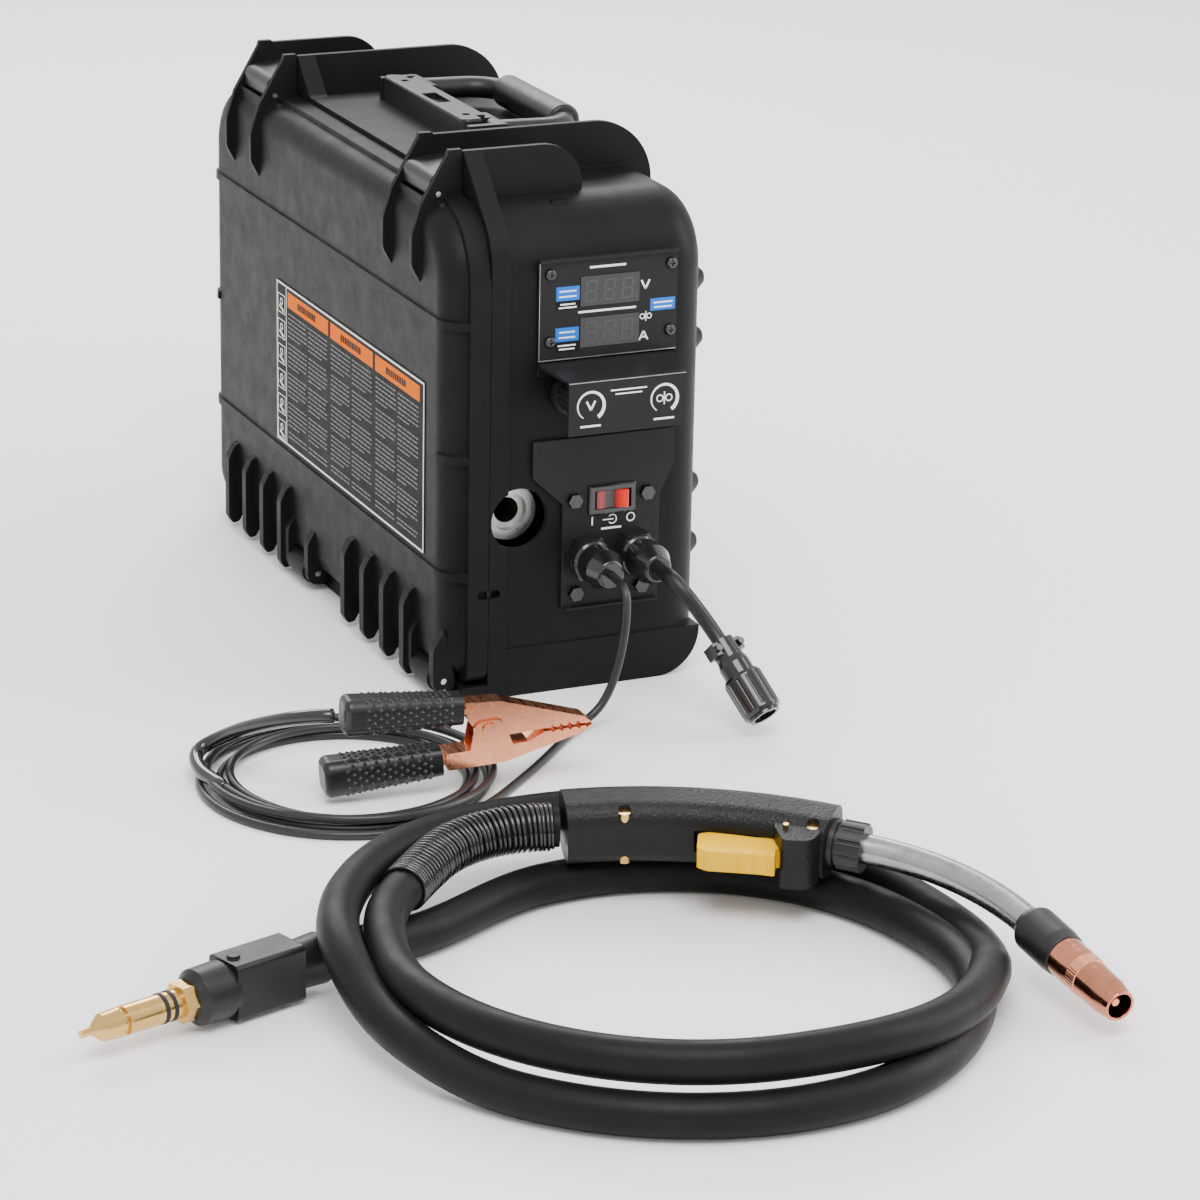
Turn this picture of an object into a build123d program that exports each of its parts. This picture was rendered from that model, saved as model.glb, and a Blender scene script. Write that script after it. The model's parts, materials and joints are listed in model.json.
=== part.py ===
"""Suitcase wire feeder for welding: a moulded case with a side door, spool and
drive inside, a control panel on the front, and its welding gun, voltage-sense
clamp and control cord.  Millimetres, +Z up, front panel towards -Y, door
towards -X.  The origin is the centre of the case's footprint on the floor."""

import math
import os

from build123d import *

os.makedirs("parts", exist_ok=True)

# ------------------------------------------------------------- driving sizes
SEAM_X = -57.8            # plane where the door meets the body
DOOR_RIM_X = -58.1        # door side of the seam
DOOR_X = -84.0            # outer face of the door
RIGHT_X = 84.0            # right wall of the body
RIB_X = 92.0              # crest of the right-hand ribs
RIB_ZS = (238.5, 202.0, 111.0, 73.0)
HALF_LENGTH = 205.0       # case walls, front and rear
FLANGE_HALF = 208.4       # rim flange, front and rear
FLANGE_WIDTH = 11.8
TOP_Z = 296.0
PAD_Z = 302.0             # raised pad under the carrying handle
FIN_Z = 324.0
WALL = 4.0
END_RADIUS = 44.0         # top edge at the front and rear
SIDE_RADIUS = 24.0        # around the right-hand wall
PAN_Z = 30.0              # height of the base pan
PAN_RIGHT_X = 81.5
PAN_HALF = 206.2
SKID_Z = 9.7
SKID_X = -72.8
FIN_THICK = 4.0
FIN_YS = (-160.6, -114.9, 114.9, 160.6)
BAY_HALF = 20.85          # half the gap between the two fins of a latch
BAY_TOP_Z = 304.5         # rim height under the latch noses
HINGE_PIN = 2.0
LATCH_PIN = 1.6
LATCH_LENGTH = 40.7
LATCH_X = -73.0           # latch hinge line
LATCH_Z = 299.5
LATCH_YS = (-137.75, 137.75)
HINGE_X = -82.0           # door hinge line
HINGE_Z = 12.0
HINGE_YS = (34.0, -178.0)

FACE_Y = -HALF_LENGTH     # outer face of the front wall
PLATE_THICK = 2.6
PLATE_Y = FACE_Y - PLATE_THICK    # outer face of the control plate
RECEPTACLE_X = -38.0      # gun receptacle, and the plane of the wire path
RECEPTACLE_Z = 110.5
RECEPTACLE_Y = -186.0
BORE_RADIUS = 7.8
METER_X = 16.2
METER_Z = 235.7
WINDOWS = ((17.0, 246.2), (17.2, 221.4))
WINDOW_SIZE = (37.6, 18.0)
GUARD_X0 = -27.9
GUARD_X1 = 60.3
SCREW_RADIUS = 1.8
METER_SCREWS = ((-21.0, 258.0), (56.2, 258.5), (-20.8, 217.5), (56.0, 218.0))
PLATE_BOLTS = ((-3.4, 118.9), (43.6, 119.1), (-1.7, 60.7), (41.0, 61.1))
GAS_X = 30.0
GAS_Z = 60.0
GAS_RADIUS = 8.0
GLAND_XS = (4.5, 35.0)    # sense lead, control cord
GLAND_Z = 83.5
GLAND_FRONT_Y = -246.0
GLAND_BORE = 16.0         # depth of the cord entry
KNOB_XS = (-7.5, 39.5)    # voltage, wire speed
KNOB_Z = 186.0
SWITCH_X = 21.0
SWITCH_Z = 117.8
ROCKER_Y = -203.0
ROCKER_TILT = -6.0

PANEL_X = -10.0           # spool side of the inner divider
SPOOL_Y = 92.0
SPOOL_Z = 150.0
SPOOL_RADIUS = 100.0
SPINDLE_RADIUS = 25.4
SPOOL_X0 = -67.0          # door side of the spool
SPOOL_X1 = -15.0
ROLL_Y = -105.0           # feed rolls, axes along X
PITCH_RADIUS = 15.6
GEAR_TEETH = 30
ROLL_Z = RECEPTACLE_Z - PITCH_RADIUS
PRESSURE_Z = RECEPTACLE_Z + PITCH_RADIUS
ARM_PIVOT = (-72.0, 134.0)       # pressure arm hinge, as (y, z)
PANEL_THICK = 2.0
PANEL_FRONT_Y = -180.0
HOUSING_X = -24.0         # spool side of the drive housing
WIRE_EDGE_X = -46.0
ARM_X = -52.0
KNOB_STEM_X = -58.0
GUIDE_RADIUS = 4.5
STEM_RADIUS = 12.0
SHAFT_RADIUS = 4.0
GEAR_X = -24.6
GEAR_WIDTH = 5.4
GEAR_ROOT = 14.25
GEAR_TIP = 16.5
GEAR_BACKLASH = 0.05
ROLL_X0 = -46.0
ROLL_X1 = GEAR_X - GEAR_WIDTH

HANDLE_PIVOT = (6.0, 309.0)      # carrying handle hinge, as (x, z)
HANDLE_X = 58.0
HANDLE_Y = 62.0
GRIP_RADIUS = 10.5

LEAD_DIAMETER = 5.0
CONTROL_DIAMETER = 9.2
HOSE_DIAMETER = 22.0
COIL_CENTRE = (-131.0, -634.0)
COIL_INNER = 128.0
COIL_OUTER = 172.0
LEAD_CENTRE = (-180.0, -300.0)
LEAD_INNER = 62.0
LEAD_OUTER = 92.0
LEAD_HEIGHT = 12.0

CLAMP_REAR = (-206.0, -323.0, 14.5)
CLAMP_HEADING = (153.0, -20.0, 11.5)
CLAMP_PIVOT = (96.0, 16.0)       # along and up in the clamp's own frame
CONNECTOR_BACK = (55.0, -290.0, 50.0)
GUN_REAR = (-136.0, -498.0, 41.0)
GUN_HEADING = (0.866, -0.5, 0.0)
GUN_ROLL = 9.5                   # trigger side rolled down
GUN_ARC = 15.0                   # half the bend of the handle
GUN_CHORD = 142.0
NECK_BEND = 42.0
NECK_RADIUS = 150.0
TRIGGER_PIVOT = (118.0, -12.0)
GUN_SCREW_SPOTS = ((33.0, -6.0), (132.0, -9.5))
PIN_RADIUS = 7.6
TANG = (14.0, 3.0)
PIN_TIP = (-435.0, -602.0, 17.0)
PIN_HEADING = (0.954, 0.30, 0.0)

pieces = {}


def keep(name, made):
    """Label a finished piece and remember it for export."""
    made.part.label = name
    pieces[name] = made.part


def outline(points, radii, mode=Mode.ADD):
    """A closed rounded outline, made into a face of the current sketch."""
    with BuildLine() as loop:
        FilletPolyline(*points, radius=radii, close=True)
    return make_face(loop.edges(), mode=mode)


def side_plane(base, offset=0.0):
    """The x-z plane of a local frame, moved along its y axis."""
    return Plane(origin=base.origin + base.y_dir * offset, x_dir=base.x_dir, z_dir=-base.y_dir)


def cross_plane(base, along, across=0.0, up=0.0):
    """A plane square to the x axis of a local frame, with y to the left and z up."""
    at = base.from_local_coords(Vector(along, across, up))
    return Plane(origin=at, x_dir=base.y_dir, z_dir=base.x_dir)


def cord_line(points):
    """Straight runs joined by arcs, each arc as wide as its shorter run allows."""
    corners = [Vector(*point) for point in points]
    radii = []
    for before, corner, after in zip(corners, corners[1:], corners[2:]):
        arriving, leaving = corner - before, after - corner
        turn = math.radians(arriving.get_angle(leaving))
        radii.append(0.45 * min(arriving.length, leaving.length) / math.tan(turn / 2))
    print("smallest bend radius", round(min(radii), 1))
    return FilletPolyline(*points, radius=radii)


# ------------------------------------------------------------------ case body
def rim_points(half, low, pad, bay, fin):
    """Side outline of the rim, with a ramp up to each fin and a step in each bay."""
    outer, inner = -FIN_YS[0] + FIN_THICK / 2, -FIN_YS[1] - FIN_THICK / 2
    ramp = fin - outer - (fin - half)     # keeps the outer ramp at 45 degrees
    side = [
        (half, low),
        (half, fin + outer - half),
        (outer, fin),
        (outer - FIN_THICK, fin),
        (outer - FIN_THICK, bay),
        (inner + FIN_THICK, bay),
        (inner + FIN_THICK, fin),
        (inner, fin),
        (inner - 1.0 * (fin - pad), pad),
    ]
    return [(-y, z) for y, z in side] + [(y, z) for y, z in reversed(side)]


RIM_RADII = [0, 38, 2, 0, 0, 0, 0, 2, 8]
RIM_RADII = RIM_RADII + RIM_RADII[::-1]

with BuildPart() as body_hollow:
    with BuildSketch(Plane.YZ.offset(SEAM_X)):
        outline(
            [(-201, 8), (-201, 292), (201, 292), (201, 8)],
            [12, END_RADIUS - WALL, END_RADIUS - WALL, 12],
        )
    extrude(amount=RIGHT_X - WALL - SEAM_X)
    deep_end = body_hollow.faces().sort_by(Axis.X)[-1]
    fillet(deep_end.edges().sort_by(Axis.Z)[1:], SIDE_RADIUS - WALL)

with BuildPart() as case_body:
    # upper tub, rounded over its ends and round its right wall
    with BuildSketch(Plane.YZ.offset(SEAM_X)):
        with Locations((0, (TOP_Z + PAN_Z - 2) / 2)):
            Rectangle(2 * HALF_LENGTH, TOP_Z - PAN_Z + 2)
    extrude(amount=RIGHT_X - SEAM_X)
    fillet(case_body.edges().filter_by(Axis.X).group_by(Axis.Z)[-1], END_RADIUS)
    right_wall = case_body.faces().sort_by(Axis.X)[-1]
    fillet(right_wall.edges().sort_by(Axis.Z)[1:], SIDE_RADIUS)
    # base pan with its large lower right-hand radius
    with BuildSketch(Plane.XZ.offset(-PAN_HALF)):
        outline([(SEAM_X, 0), (PAN_RIGHT_X, 0), (PAN_RIGHT_X, PAN_Z), (SEAM_X, PAN_Z)], [0, 28, 0, 0])
    pan = extrude(amount=2 * PAN_HALF, mode=Mode.PRIVATE)
    add(pan)
    # skid that carries the door side
    with BuildSketch(Plane.XY):
        outline([(SKID_X, -208.2), (SEAM_X + 2, -208.2), (SEAM_X + 2, 208.2), (SKID_X, 208.2)], [1, 0, 0, 1])
    extrude(amount=SKID_Z)
    # rim flange with the ramps up to the fins
    with BuildSketch(Plane.YZ.offset(SEAM_X)):
        outline(rim_points(FLANGE_HALF, 0, PAD_Z, BAY_TOP_Z, FIN_Z), RIM_RADII)
    extrude(amount=FLANGE_WIDTH)
    # fins: the outer pair is short, the inner pair reaches the right wall
    for fin_y in FIN_YS:
        end_x, end_radius, foot_x = (18.0, 25.0, 10.0) if abs(fin_y) > 130 else (84.0, 38.0, 62.0)
        foot_z = TOP_Z - 3 if abs(fin_y) > 130 else 268.0
        with BuildSketch(Plane.XZ.offset(-fin_y - FIN_THICK / 2)):
            outline(
                [(SEAM_X, 285), (foot_x, 285), (end_x, foot_z), (end_x, FIN_Z), (SEAM_X, FIN_Z)],
                [0, 0, 0, end_radius, 0],
            )
        extrude(amount=FIN_THICK)
    # raised pad between the inner fins
    with BuildSketch(Plane.XY.offset(TOP_Z - 2)):
        with Locations(((SEAM_X + 4) / 2, 0)):
            RectangleRounded(4 - SEAM_X, 188, 3)
    extrude(amount=PAD_Z - TOP_Z + 2)
    # four long ribs along the right wall, with sloping flanks and ends
    with BuildSketch(Plane.YZ.offset(RIGHT_X - 2)):
        with Locations(*[(0, z) for z in RIB_ZS]):
            SlotOverall(374, 26)
    extrude(amount=RIB_X - RIGHT_X + 2, taper=41)
    # hollow inside, left open at the seam
    add(body_hollow.part, mode=Mode.SUBTRACT)
    # inner sill that carries the seal along the bottom
    with Locations((SEAM_X + 4, 0, 13)):
        Box(8, 403, 11)
    # groove for the seal
    with BuildSketch(Plane.YZ.offset(SEAM_X)):
        outline([(-205.7, 12.2), (-205.7, 298.3), (205.7, 298.3), (205.7, 12.2)], [7, 41.3, 41.3, 7])
        outline(
            [(-203.1, 14.8), (-203.1, 295.7), (203.1, 295.7), (203.1, 14.8)],
            [4.4, 38.7, 38.7, 4.4],
            Mode.SUBTRACT,
        )
    extrude(amount=2.2, mode=Mode.SUBTRACT)
    # front openings: gun receptacle, meter, knobs, switch and glands
    with BuildSketch(Plane.XZ.offset(-FACE_Y + 10)):
        with Locations((RECEPTACLE_X, RECEPTACLE_Z)):
            Circle(18.6)
        with Locations((METER_X, METER_Z)):
            Rectangle(74, 46)
        with Locations(*[(x, KNOB_Z) for x in KNOB_XS]):
            Circle(4.0)
        with Locations(*[(x, GLAND_Z) for x in GLAND_XS]):
            Circle(9.0)
        with Locations((SWITCH_X, SWITCH_Z)):
            Rectangle(30, 17)
        with Locations(*METER_SCREWS, *PLATE_BOLTS):
            Circle(SCREW_RADIUS)
    extrude(amount=-25, mode=Mode.SUBTRACT)
    # hole for the gas inlet in the rear wall
    with BuildSketch(Plane.XZ.offset(-PAN_HALF - 4)):
        with Locations((GAS_X, GAS_Z)):
            Circle(GAS_RADIUS)
    extrude(amount=12, mode=Mode.SUBTRACT)
    # posts for the inner divider
    with BuildSketch(Plane.XY.offset(7)):
        with Locations(*[(PANEL_X + PANEL_THICK + 5, y) for y in (PANEL_FRONT_Y + 8, 186)]):
            Rectangle(10, 14)
    extrude(amount=287)
    # oval notch across the seam, at the front
    with BuildSketch(Plane.XZ.offset(FLANGE_HALF + 1)):
        with Locations((SEAM_X, 66.5)):
            SlotOverall(14.5, 5.2)
    extrude(amount=-5, mode=Mode.SUBTRACT)
    # hinge lugs on the skid
    for hinge_y in HINGE_YS:
        with BuildSketch(Plane.XZ.offset(-hinge_y - 14)):
            with Locations((HINGE_X, HINGE_Z)):
                Circle(8)
            outline(
                [(HINGE_X, 4), (SKID_X + 1, 1), (SKID_X + 1, SKID_Z), (HINGE_X + 4, HINGE_Z + 6.9)],
                [0, 0, 0, 0],
            )
            with Locations((HINGE_X, HINGE_Z)):
                Circle(HINGE_PIN + 0.05, mode=Mode.SUBTRACT)
        extrude(amount=28)
keep("case_body", case_body)


with BuildPart() as seam_gasket:
    with BuildSketch(Plane.YZ.offset(SEAM_X + 2.2)):
        outline([(-205.6, 12.3), (-205.6, 298.2), (205.6, 298.2), (205.6, 12.3)], [7, 41.2, 41.2, 7])
        outline(
            [(-203.2, 14.7), (-203.2, 295.8), (203.2, 295.8), (203.2, 14.7)],
            [4.5, 38.8, 38.8, 4.5],
            Mode.SUBTRACT,
        )
    extrude(amount=-2.35)
keep("seam_gasket", seam_gasket)


# ----------------------------------------------------------------------- door
def door_fin(section):
    """Side outline of one door fin, from the rim to where it fades into the wall."""
    tip, foot = section
    return [
        (DOOR_RIM_X, tip), (-66.3, FIN_Z), (-83.7, 294), (-89.5, 276), (-89.5, 258),
        (DOOR_X + 1, foot), (DOOR_X + 4, 270), (-76, TOP_Z - 8), (DOOR_RIM_X, TOP_Z - 8),
    ]


with BuildPart() as door_hollow:
    with BuildSketch(Plane.YZ.offset(DOOR_RIM_X)):
        outline([(-202, 13.5), (-202, 293), (202, 293), (202, 13.5)], [19, 41, 41, 19])
    extrude(amount=DOOR_X + 3 - DOOR_RIM_X)
    fillet(door_hollow.faces().sort_by(Axis.X)[0].edges(), 14)

with BuildPart() as door_shell:
    with BuildSketch(Plane.YZ.offset(DOOR_RIM_X)):
        outline([(-205, 10.5), (-205, TOP_Z), (205, TOP_Z), (205, 10.5)], [22, END_RADIUS, END_RADIUS, 22])
    extrude(amount=DOOR_X - DOOR_RIM_X)
    fillet(door_shell.faces().sort_by(Axis.X)[0].edges(), 17)
    # rim flange
    with BuildSketch(Plane.YZ.offset(DOOR_RIM_X)):
        outline(
            [(-FLANGE_HALF, 10.5), (-FLANGE_HALF, TOP_Z + 3), (FLANGE_HALF, TOP_Z + 3), (FLANGE_HALF, 10.5)],
            [10, 47, 47, 10],
        )
    extrude(amount=-12.9)
    # beads round the door, and two short ones at its corners
    for bead_z in (231.0, 78.0, 150.0):
        with BuildSketch(Plane.XY.offset(bead_z - 2.5)):
            outline(
                [(DOOR_RIM_X, -FLANGE_HALF), (DOOR_X - 1.2, -FLANGE_HALF),
                 (DOOR_X - 1.2, FLANGE_HALF), (DOOR_RIM_X, FLANGE_HALF)],
                [0, 19, 19, 0],
            )
            if bead_z == 150.0:
                with Locations((DOOR_X, 0)):
                    Rectangle(60, 2 * FLANGE_HALF - 36, mode=Mode.SUBTRACT)
        extrude(amount=5)
    # fins either side of each latch
    for fin_y in FIN_YS:
        with BuildSketch(Plane.XZ.offset(-fin_y - FIN_THICK / 2)):
            outline(door_fin((FIN_Z, 246)), [0, 3, 8, 12, 10, 0, 0, 0, 0])
        extrude(amount=FIN_THICK)
        with BuildSketch(Plane.XZ.offset(-fin_y - FIN_THICK / 2)):
            outline([(DOOR_RIM_X, 300), (DOOR_RIM_X, FIN_Z + 1.2), (-66.8, FIN_Z + 1.2), (-71, 300)], 0.8)
        extrude(amount=FIN_THICK)
    # foot ribs in two groups
    for first_y in (-153.0, 60.0):
        for step in range(4):
            with BuildSketch(Plane.XZ.offset(-first_y - 33 * step - 3.5)):
                outline(
                    [(DOOR_X + 5, 14), (DOOR_X, 4), (-88.5, 3), (-91.2, 8), (-91.2, 48), (-86, 58),
                     (DOOR_X + 5, 58)],
                    [0, 3, 2, 3, 8, 6, 0],
                )
            extrude(amount=7)
    add(door_hollow.part, mode=Mode.SUBTRACT)
    # bays that clear the latch barrels
    for latch_y in LATCH_YS:
        with BuildSketch(Plane.XZ.offset(-latch_y - BAY_HALF)):
            outline([(-80, 284.5), (-80, 297), (DOOR_RIM_X, 297), (DOOR_RIM_X, 284.5)], [4, 0, 0, 0])
        extrude(amount=2 * BAY_HALF)
        with BuildSketch(Plane.XZ.offset(-latch_y - BAY_HALF)):
            outline(
                [(-78.5, 288.5), (-78.5, 312), (DOOR_RIM_X + 1, 312), (DOOR_RIM_X + 1, 288.5)],
                [3, 0, 0, 0],
            )
        extrude(amount=2 * BAY_HALF, mode=Mode.SUBTRACT)
        with BuildSketch(Plane.XZ.offset(-latch_y - BAY_HALF - FIN_THICK - 4)):
            with Locations((LATCH_X, LATCH_Z)):
                Circle(LATCH_PIN)
        extrude(amount=2 * BAY_HALF + 2 * FIN_THICK + 8, mode=Mode.SUBTRACT)
    # hinge knuckles either side of each lug, and the space for the lug
    for hinge_y in HINGE_YS:
        for side in (-1, 1):
            with BuildSketch(Plane.XZ.offset(-hinge_y - side * 17.8 - 3.5)):
                with Locations((HINGE_X, HINGE_Z)):
                    Circle(7)
                outline(
                    [(HINGE_X - 7, HINGE_Z), (HINGE_X - 7, 32), (DOOR_X + 2, 44), (DOOR_X + 6, 30),
                     (HINGE_X + 7, HINGE_Z)],
                    [0, 8, 0, 0, 0],
                )
            extrude(amount=7)
        with Locations((DOOR_X + 12, hinge_y, 10.5)):
            Box(40, 28.6, 21.4, mode=Mode.SUBTRACT)
        with BuildSketch(Plane.XZ.offset(-hinge_y - 25)):
            with Locations((HINGE_X, HINGE_Z)):
                Circle(HINGE_PIN)
        extrude(amount=50, mode=Mode.SUBTRACT)
    # the door's half of the oval notch across the seam
    with BuildSketch(Plane.XZ.offset(FLANGE_HALF + 1)):
        with Locations((SEAM_X, 66.5)):
            SlotOverall(14.5, 5.2)
    extrude(amount=-5, mode=Mode.SUBTRACT)
keep("door_shell", door_shell)

with BuildPart() as door_label:
    with BuildSketch(Plane.YZ.offset(DOOR_X)):
        with Locations((-45.5, 136.5)):
            RectangleRounded(253, 107, 3)
    extrude(amount=-0.4)
keep("door_label", door_label)

with BuildPart() as door_pins:
    with BuildSketch(Plane.XZ.offset(-HINGE_YS[0] - 20.6)):
        with Locations((HINGE_X, HINGE_Z)):
            Circle(HINGE_PIN)
    extrude(amount=41.2)
    with BuildSketch(Plane.XZ.offset(-HINGE_YS[1] - 20.6)):
        with Locations((HINGE_X, HINGE_Z)):
            Circle(HINGE_PIN)
    extrude(amount=41.2)
    for latch_y in LATCH_YS:
        with BuildSketch(Plane.XZ.offset(-latch_y - BAY_HALF - FIN_THICK)):
            with Locations((LATCH_X, LATCH_Z)):
                Circle(LATCH_PIN)
        extrude(amount=2 * BAY_HALF + 2 * FIN_THICK)
keep("door_pins", door_pins)

for latch_name, latch_y in zip(("latch_front", "latch_rear"), LATCH_YS):
    with BuildPart() as latch:
        with BuildSketch(Plane.XZ.offset(-latch_y - LATCH_LENGTH / 2)):
            outline(
                [(-49, 313.2), (-66, 312), (-77, 310), (-77, 298), (-72, 290.5), (-62.5, 290.5),
                 (-61.2, 306.3), (-49.5, 306.3)],
                [2, 6, 7, 4, 5, 3, 0, 1.5],
            )
            with Locations((LATCH_X, LATCH_Z)):
                Circle(LATCH_PIN + 0.05, mode=Mode.SUBTRACT)
        extrude(amount=LATCH_LENGTH)
    keep(latch_name, latch)

# ---------------------------------------------------------------- front panel
with BuildPart() as control_plate:
    with BuildSketch(Plane.XZ.offset(-FACE_Y)):
        outline(
            [(-30.2, 157.3), (52.3 + 8.9, 157.3), (61.2, 135.1), (52.3, 117.0), (52.3, 51.2),
             (-10.8, 51.2), (-10.8, 117.0), (-30.2, 135.1)],
            [1, 1, 1, 1, 1, 1, 1, 1],
        )
        with Locations(*[(x, GLAND_Z) for x in GLAND_XS]):
            Circle(9.0, mode=Mode.SUBTRACT)
        with Locations((SWITCH_X, SWITCH_Z)):
            Rectangle(28, 15, mode=Mode.SUBTRACT)
        with Locations(*PLATE_BOLTS):
            Circle(SCREW_RADIUS, mode=Mode.SUBTRACT)
    extrude(amount=PLATE_THICK)
    # folded lip along the lower edge
    with Locations((20.75, PLATE_Y - 1.2, 51.9)):
        Box(60, 3.6, 1.4)
keep("control_plate", control_plate)

with BuildPart() as meter_panel:
    with BuildSketch(Plane.XZ.offset(-FACE_Y)):
        with Locations((METER_X, METER_Z)):
            RectangleRounded(88.2, 59.4, 1.5)
        with Locations(*WINDOWS):
            Rectangle(*WINDOW_SIZE, mode=Mode.SUBTRACT)
        with Locations(*METER_SCREWS):
            Circle(SCREW_RADIUS, mode=Mode.SUBTRACT)
    extrude(amount=PLATE_THICK)
    # drip lip along the top
    with Locations((METER_X, FACE_Y - 2.4, METER_Z + 30.5)):
        Box(88.2, 4.8, 1.6)
keep("meter_panel", meter_panel)

with BuildPart() as meter_windows:
    with BuildSketch(Plane.XZ.offset(-FACE_Y)):
        with Locations(*WINDOWS):
            Rectangle(*WINDOW_SIZE)
    extrude(amount=PLATE_THICK + 0.5)
keep("meter_windows", meter_windows)

with BuildPart() as panel_screws:
    # cross-head screws of the meter panel
    with BuildSketch(Plane.XZ.offset(-PLATE_Y)):
        with Locations(*METER_SCREWS):
            Circle(3.4)
    extrude(amount=2.2)
    fillet(panel_screws.faces().sort_by(Axis.Y)[:4].edges(), 1.2)
    with BuildSketch(Plane.XZ.offset(-PLATE_Y + 2.3)):
        with Locations(*METER_SCREWS):
            Rectangle(3.6, 0.8)
            Rectangle(0.8, 3.6)
    extrude(amount=-1.2, mode=Mode.SUBTRACT)
    # hexagon bolts of the control plate
    with BuildSketch(Plane.XZ.offset(-PLATE_Y)):
        with Locations(*PLATE_BOLTS):
            RegularPolygon(4.6, 6)
    extrude(amount=3.2)
    with BuildSketch(Plane.XZ.offset(-PLATE_Y)):
        with Locations(*METER_SCREWS, *PLATE_BOLTS):
            Circle(SCREW_RADIUS)
    extrude(amount=-9)
keep("panel_screws", panel_screws)

with BuildPart() as knob_guard:
    # side section of the folded sheet: back flange, roof, front plate
    with BuildSketch(Plane.YZ.offset(GUARD_X0)):
        outline(
            [(-205, 205.0), (-205, 196.5), (-206.6, 196.5), (-206.6, 203.0), (-236.6, 199.4),
             (-236.6, 168.5), (-238.2, 168.5), (-238.2, 200.8), (-206.0, 205.0)],
            [0, 0, 0, 0.5, 0.5, 0, 0, 2, 0],
        )
    extrude(amount=GUARD_X1 - GUARD_X0)
    # the front plate is narrower than the roof where it meets the panel
    with BuildSketch(Plane.XY.offset(160)):
        for end_x, slant in ((GUARD_X0 - 1, 7.4), (GUARD_X1 + 1, -8.3)):
            outline([(end_x, -240), (end_x, -206.6), (end_x + slant, -234), (end_x + slant, -240)], 0)
    extrude(amount=50, mode=Mode.SUBTRACT)
keep("knob_guard", knob_guard)

with BuildPart() as potentiometers:
    with BuildSketch(Plane.XZ.offset(-FACE_Y - 4)):
        with Locations(*[(x, KNOB_Z) for x in KNOB_XS]):
            Circle(10)
    extrude(amount=-14)
    with BuildSketch(Plane.XZ.offset(-FACE_Y - 4)):
        with Locations(*[(x, KNOB_Z) for x in KNOB_XS]):
            Circle(3)
    extrude(amount=27)
keep("potentiometers", potentiometers)

for knob_name, knob_x in zip(("voltage_knob", "speed_knob"), KNOB_XS):
    with BuildPart() as knob:
        with BuildSketch(Plane.XZ.offset(209)):
            with Locations((knob_x, KNOB_Z)):
                Circle(12.5)
        extrude(amount=5)
        with BuildSketch(Plane.XZ.offset(209)):
            with Locations((knob_x, KNOB_Z)):
                Circle(10.8)
                with PolarLocations(10.8, 18):
                    Circle(0.9, mode=Mode.SUBTRACT)
        extrude(amount=24.5)
        chamfer(knob.faces().sort_by(Axis.Y)[0].edges(), 0.6)
        with BuildSketch(Plane.XZ.offset(209)):
            with Locations((knob_x, KNOB_Z)):
                Circle(3.05)
        extrude(amount=20, mode=Mode.SUBTRACT)
        with BuildSketch(Plane.XZ.offset(233.5)):
            with Locations((knob_x, KNOB_Z + 5)):
                Rectangle(1.2, 8)
        extrude(amount=-0.8, mode=Mode.SUBTRACT)
    keep(knob_name, knob)

with BuildPart() as switch_bezel:
    with BuildSketch(Plane.XZ.offset(-PLATE_Y)):
        with Locations((SWITCH_X, SWITCH_Z)):
            RectangleRounded(30.5, 18, 1)
    extrude(amount=2.4)
    chamfer(switch_bezel.faces().sort_by(Axis.Y)[0].edges(), 0.8)
    with BuildSketch(Plane.XZ.offset(-PLATE_Y)):
        with Locations((SWITCH_X, SWITCH_Z)):
            Rectangle(28, 15)
    extrude(amount=-17)
    with BuildSketch(Plane.XZ.offset(-PLATE_Y + 3)):
        with Locations((SWITCH_X, SWITCH_Z)):
            Rectangle(23.6, 11.6)
    extrude(amount=-17, mode=Mode.SUBTRACT)
    with BuildSketch(Plane.XY.offset(SWITCH_Z - 7.3)):
        with Locations((SWITCH_X, ROCKER_Y)):
            Circle(1.55)
    extrude(amount=14.6, mode=Mode.SUBTRACT)
keep("switch_bezel", switch_bezel)

with BuildPart() as power_rocker:
    tilted = Plane(origin=(SWITCH_X, ROCKER_Y, SWITCH_Z - 5.4)).rotated((0, 0, ROCKER_TILT))
    with BuildSketch(tilted):
        outline(
            [(-10.4, -8.2), (0, -6.0), (10.4, -8.2), (8.5, 0), (4, 3.6), (-4, 3.6), (-8.5, 0)],
            [0.6, 12, 0.6, 1, 1, 1, 1],
        )
    extrude(amount=10.8)
    with BuildSketch(Plane.XY.offset(SWITCH_Z - 7.1)):
        with Locations((SWITCH_X, ROCKER_Y)):
            Circle(1.5)
    extrude(amount=14.2)
keep("power_rocker", power_rocker)

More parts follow.
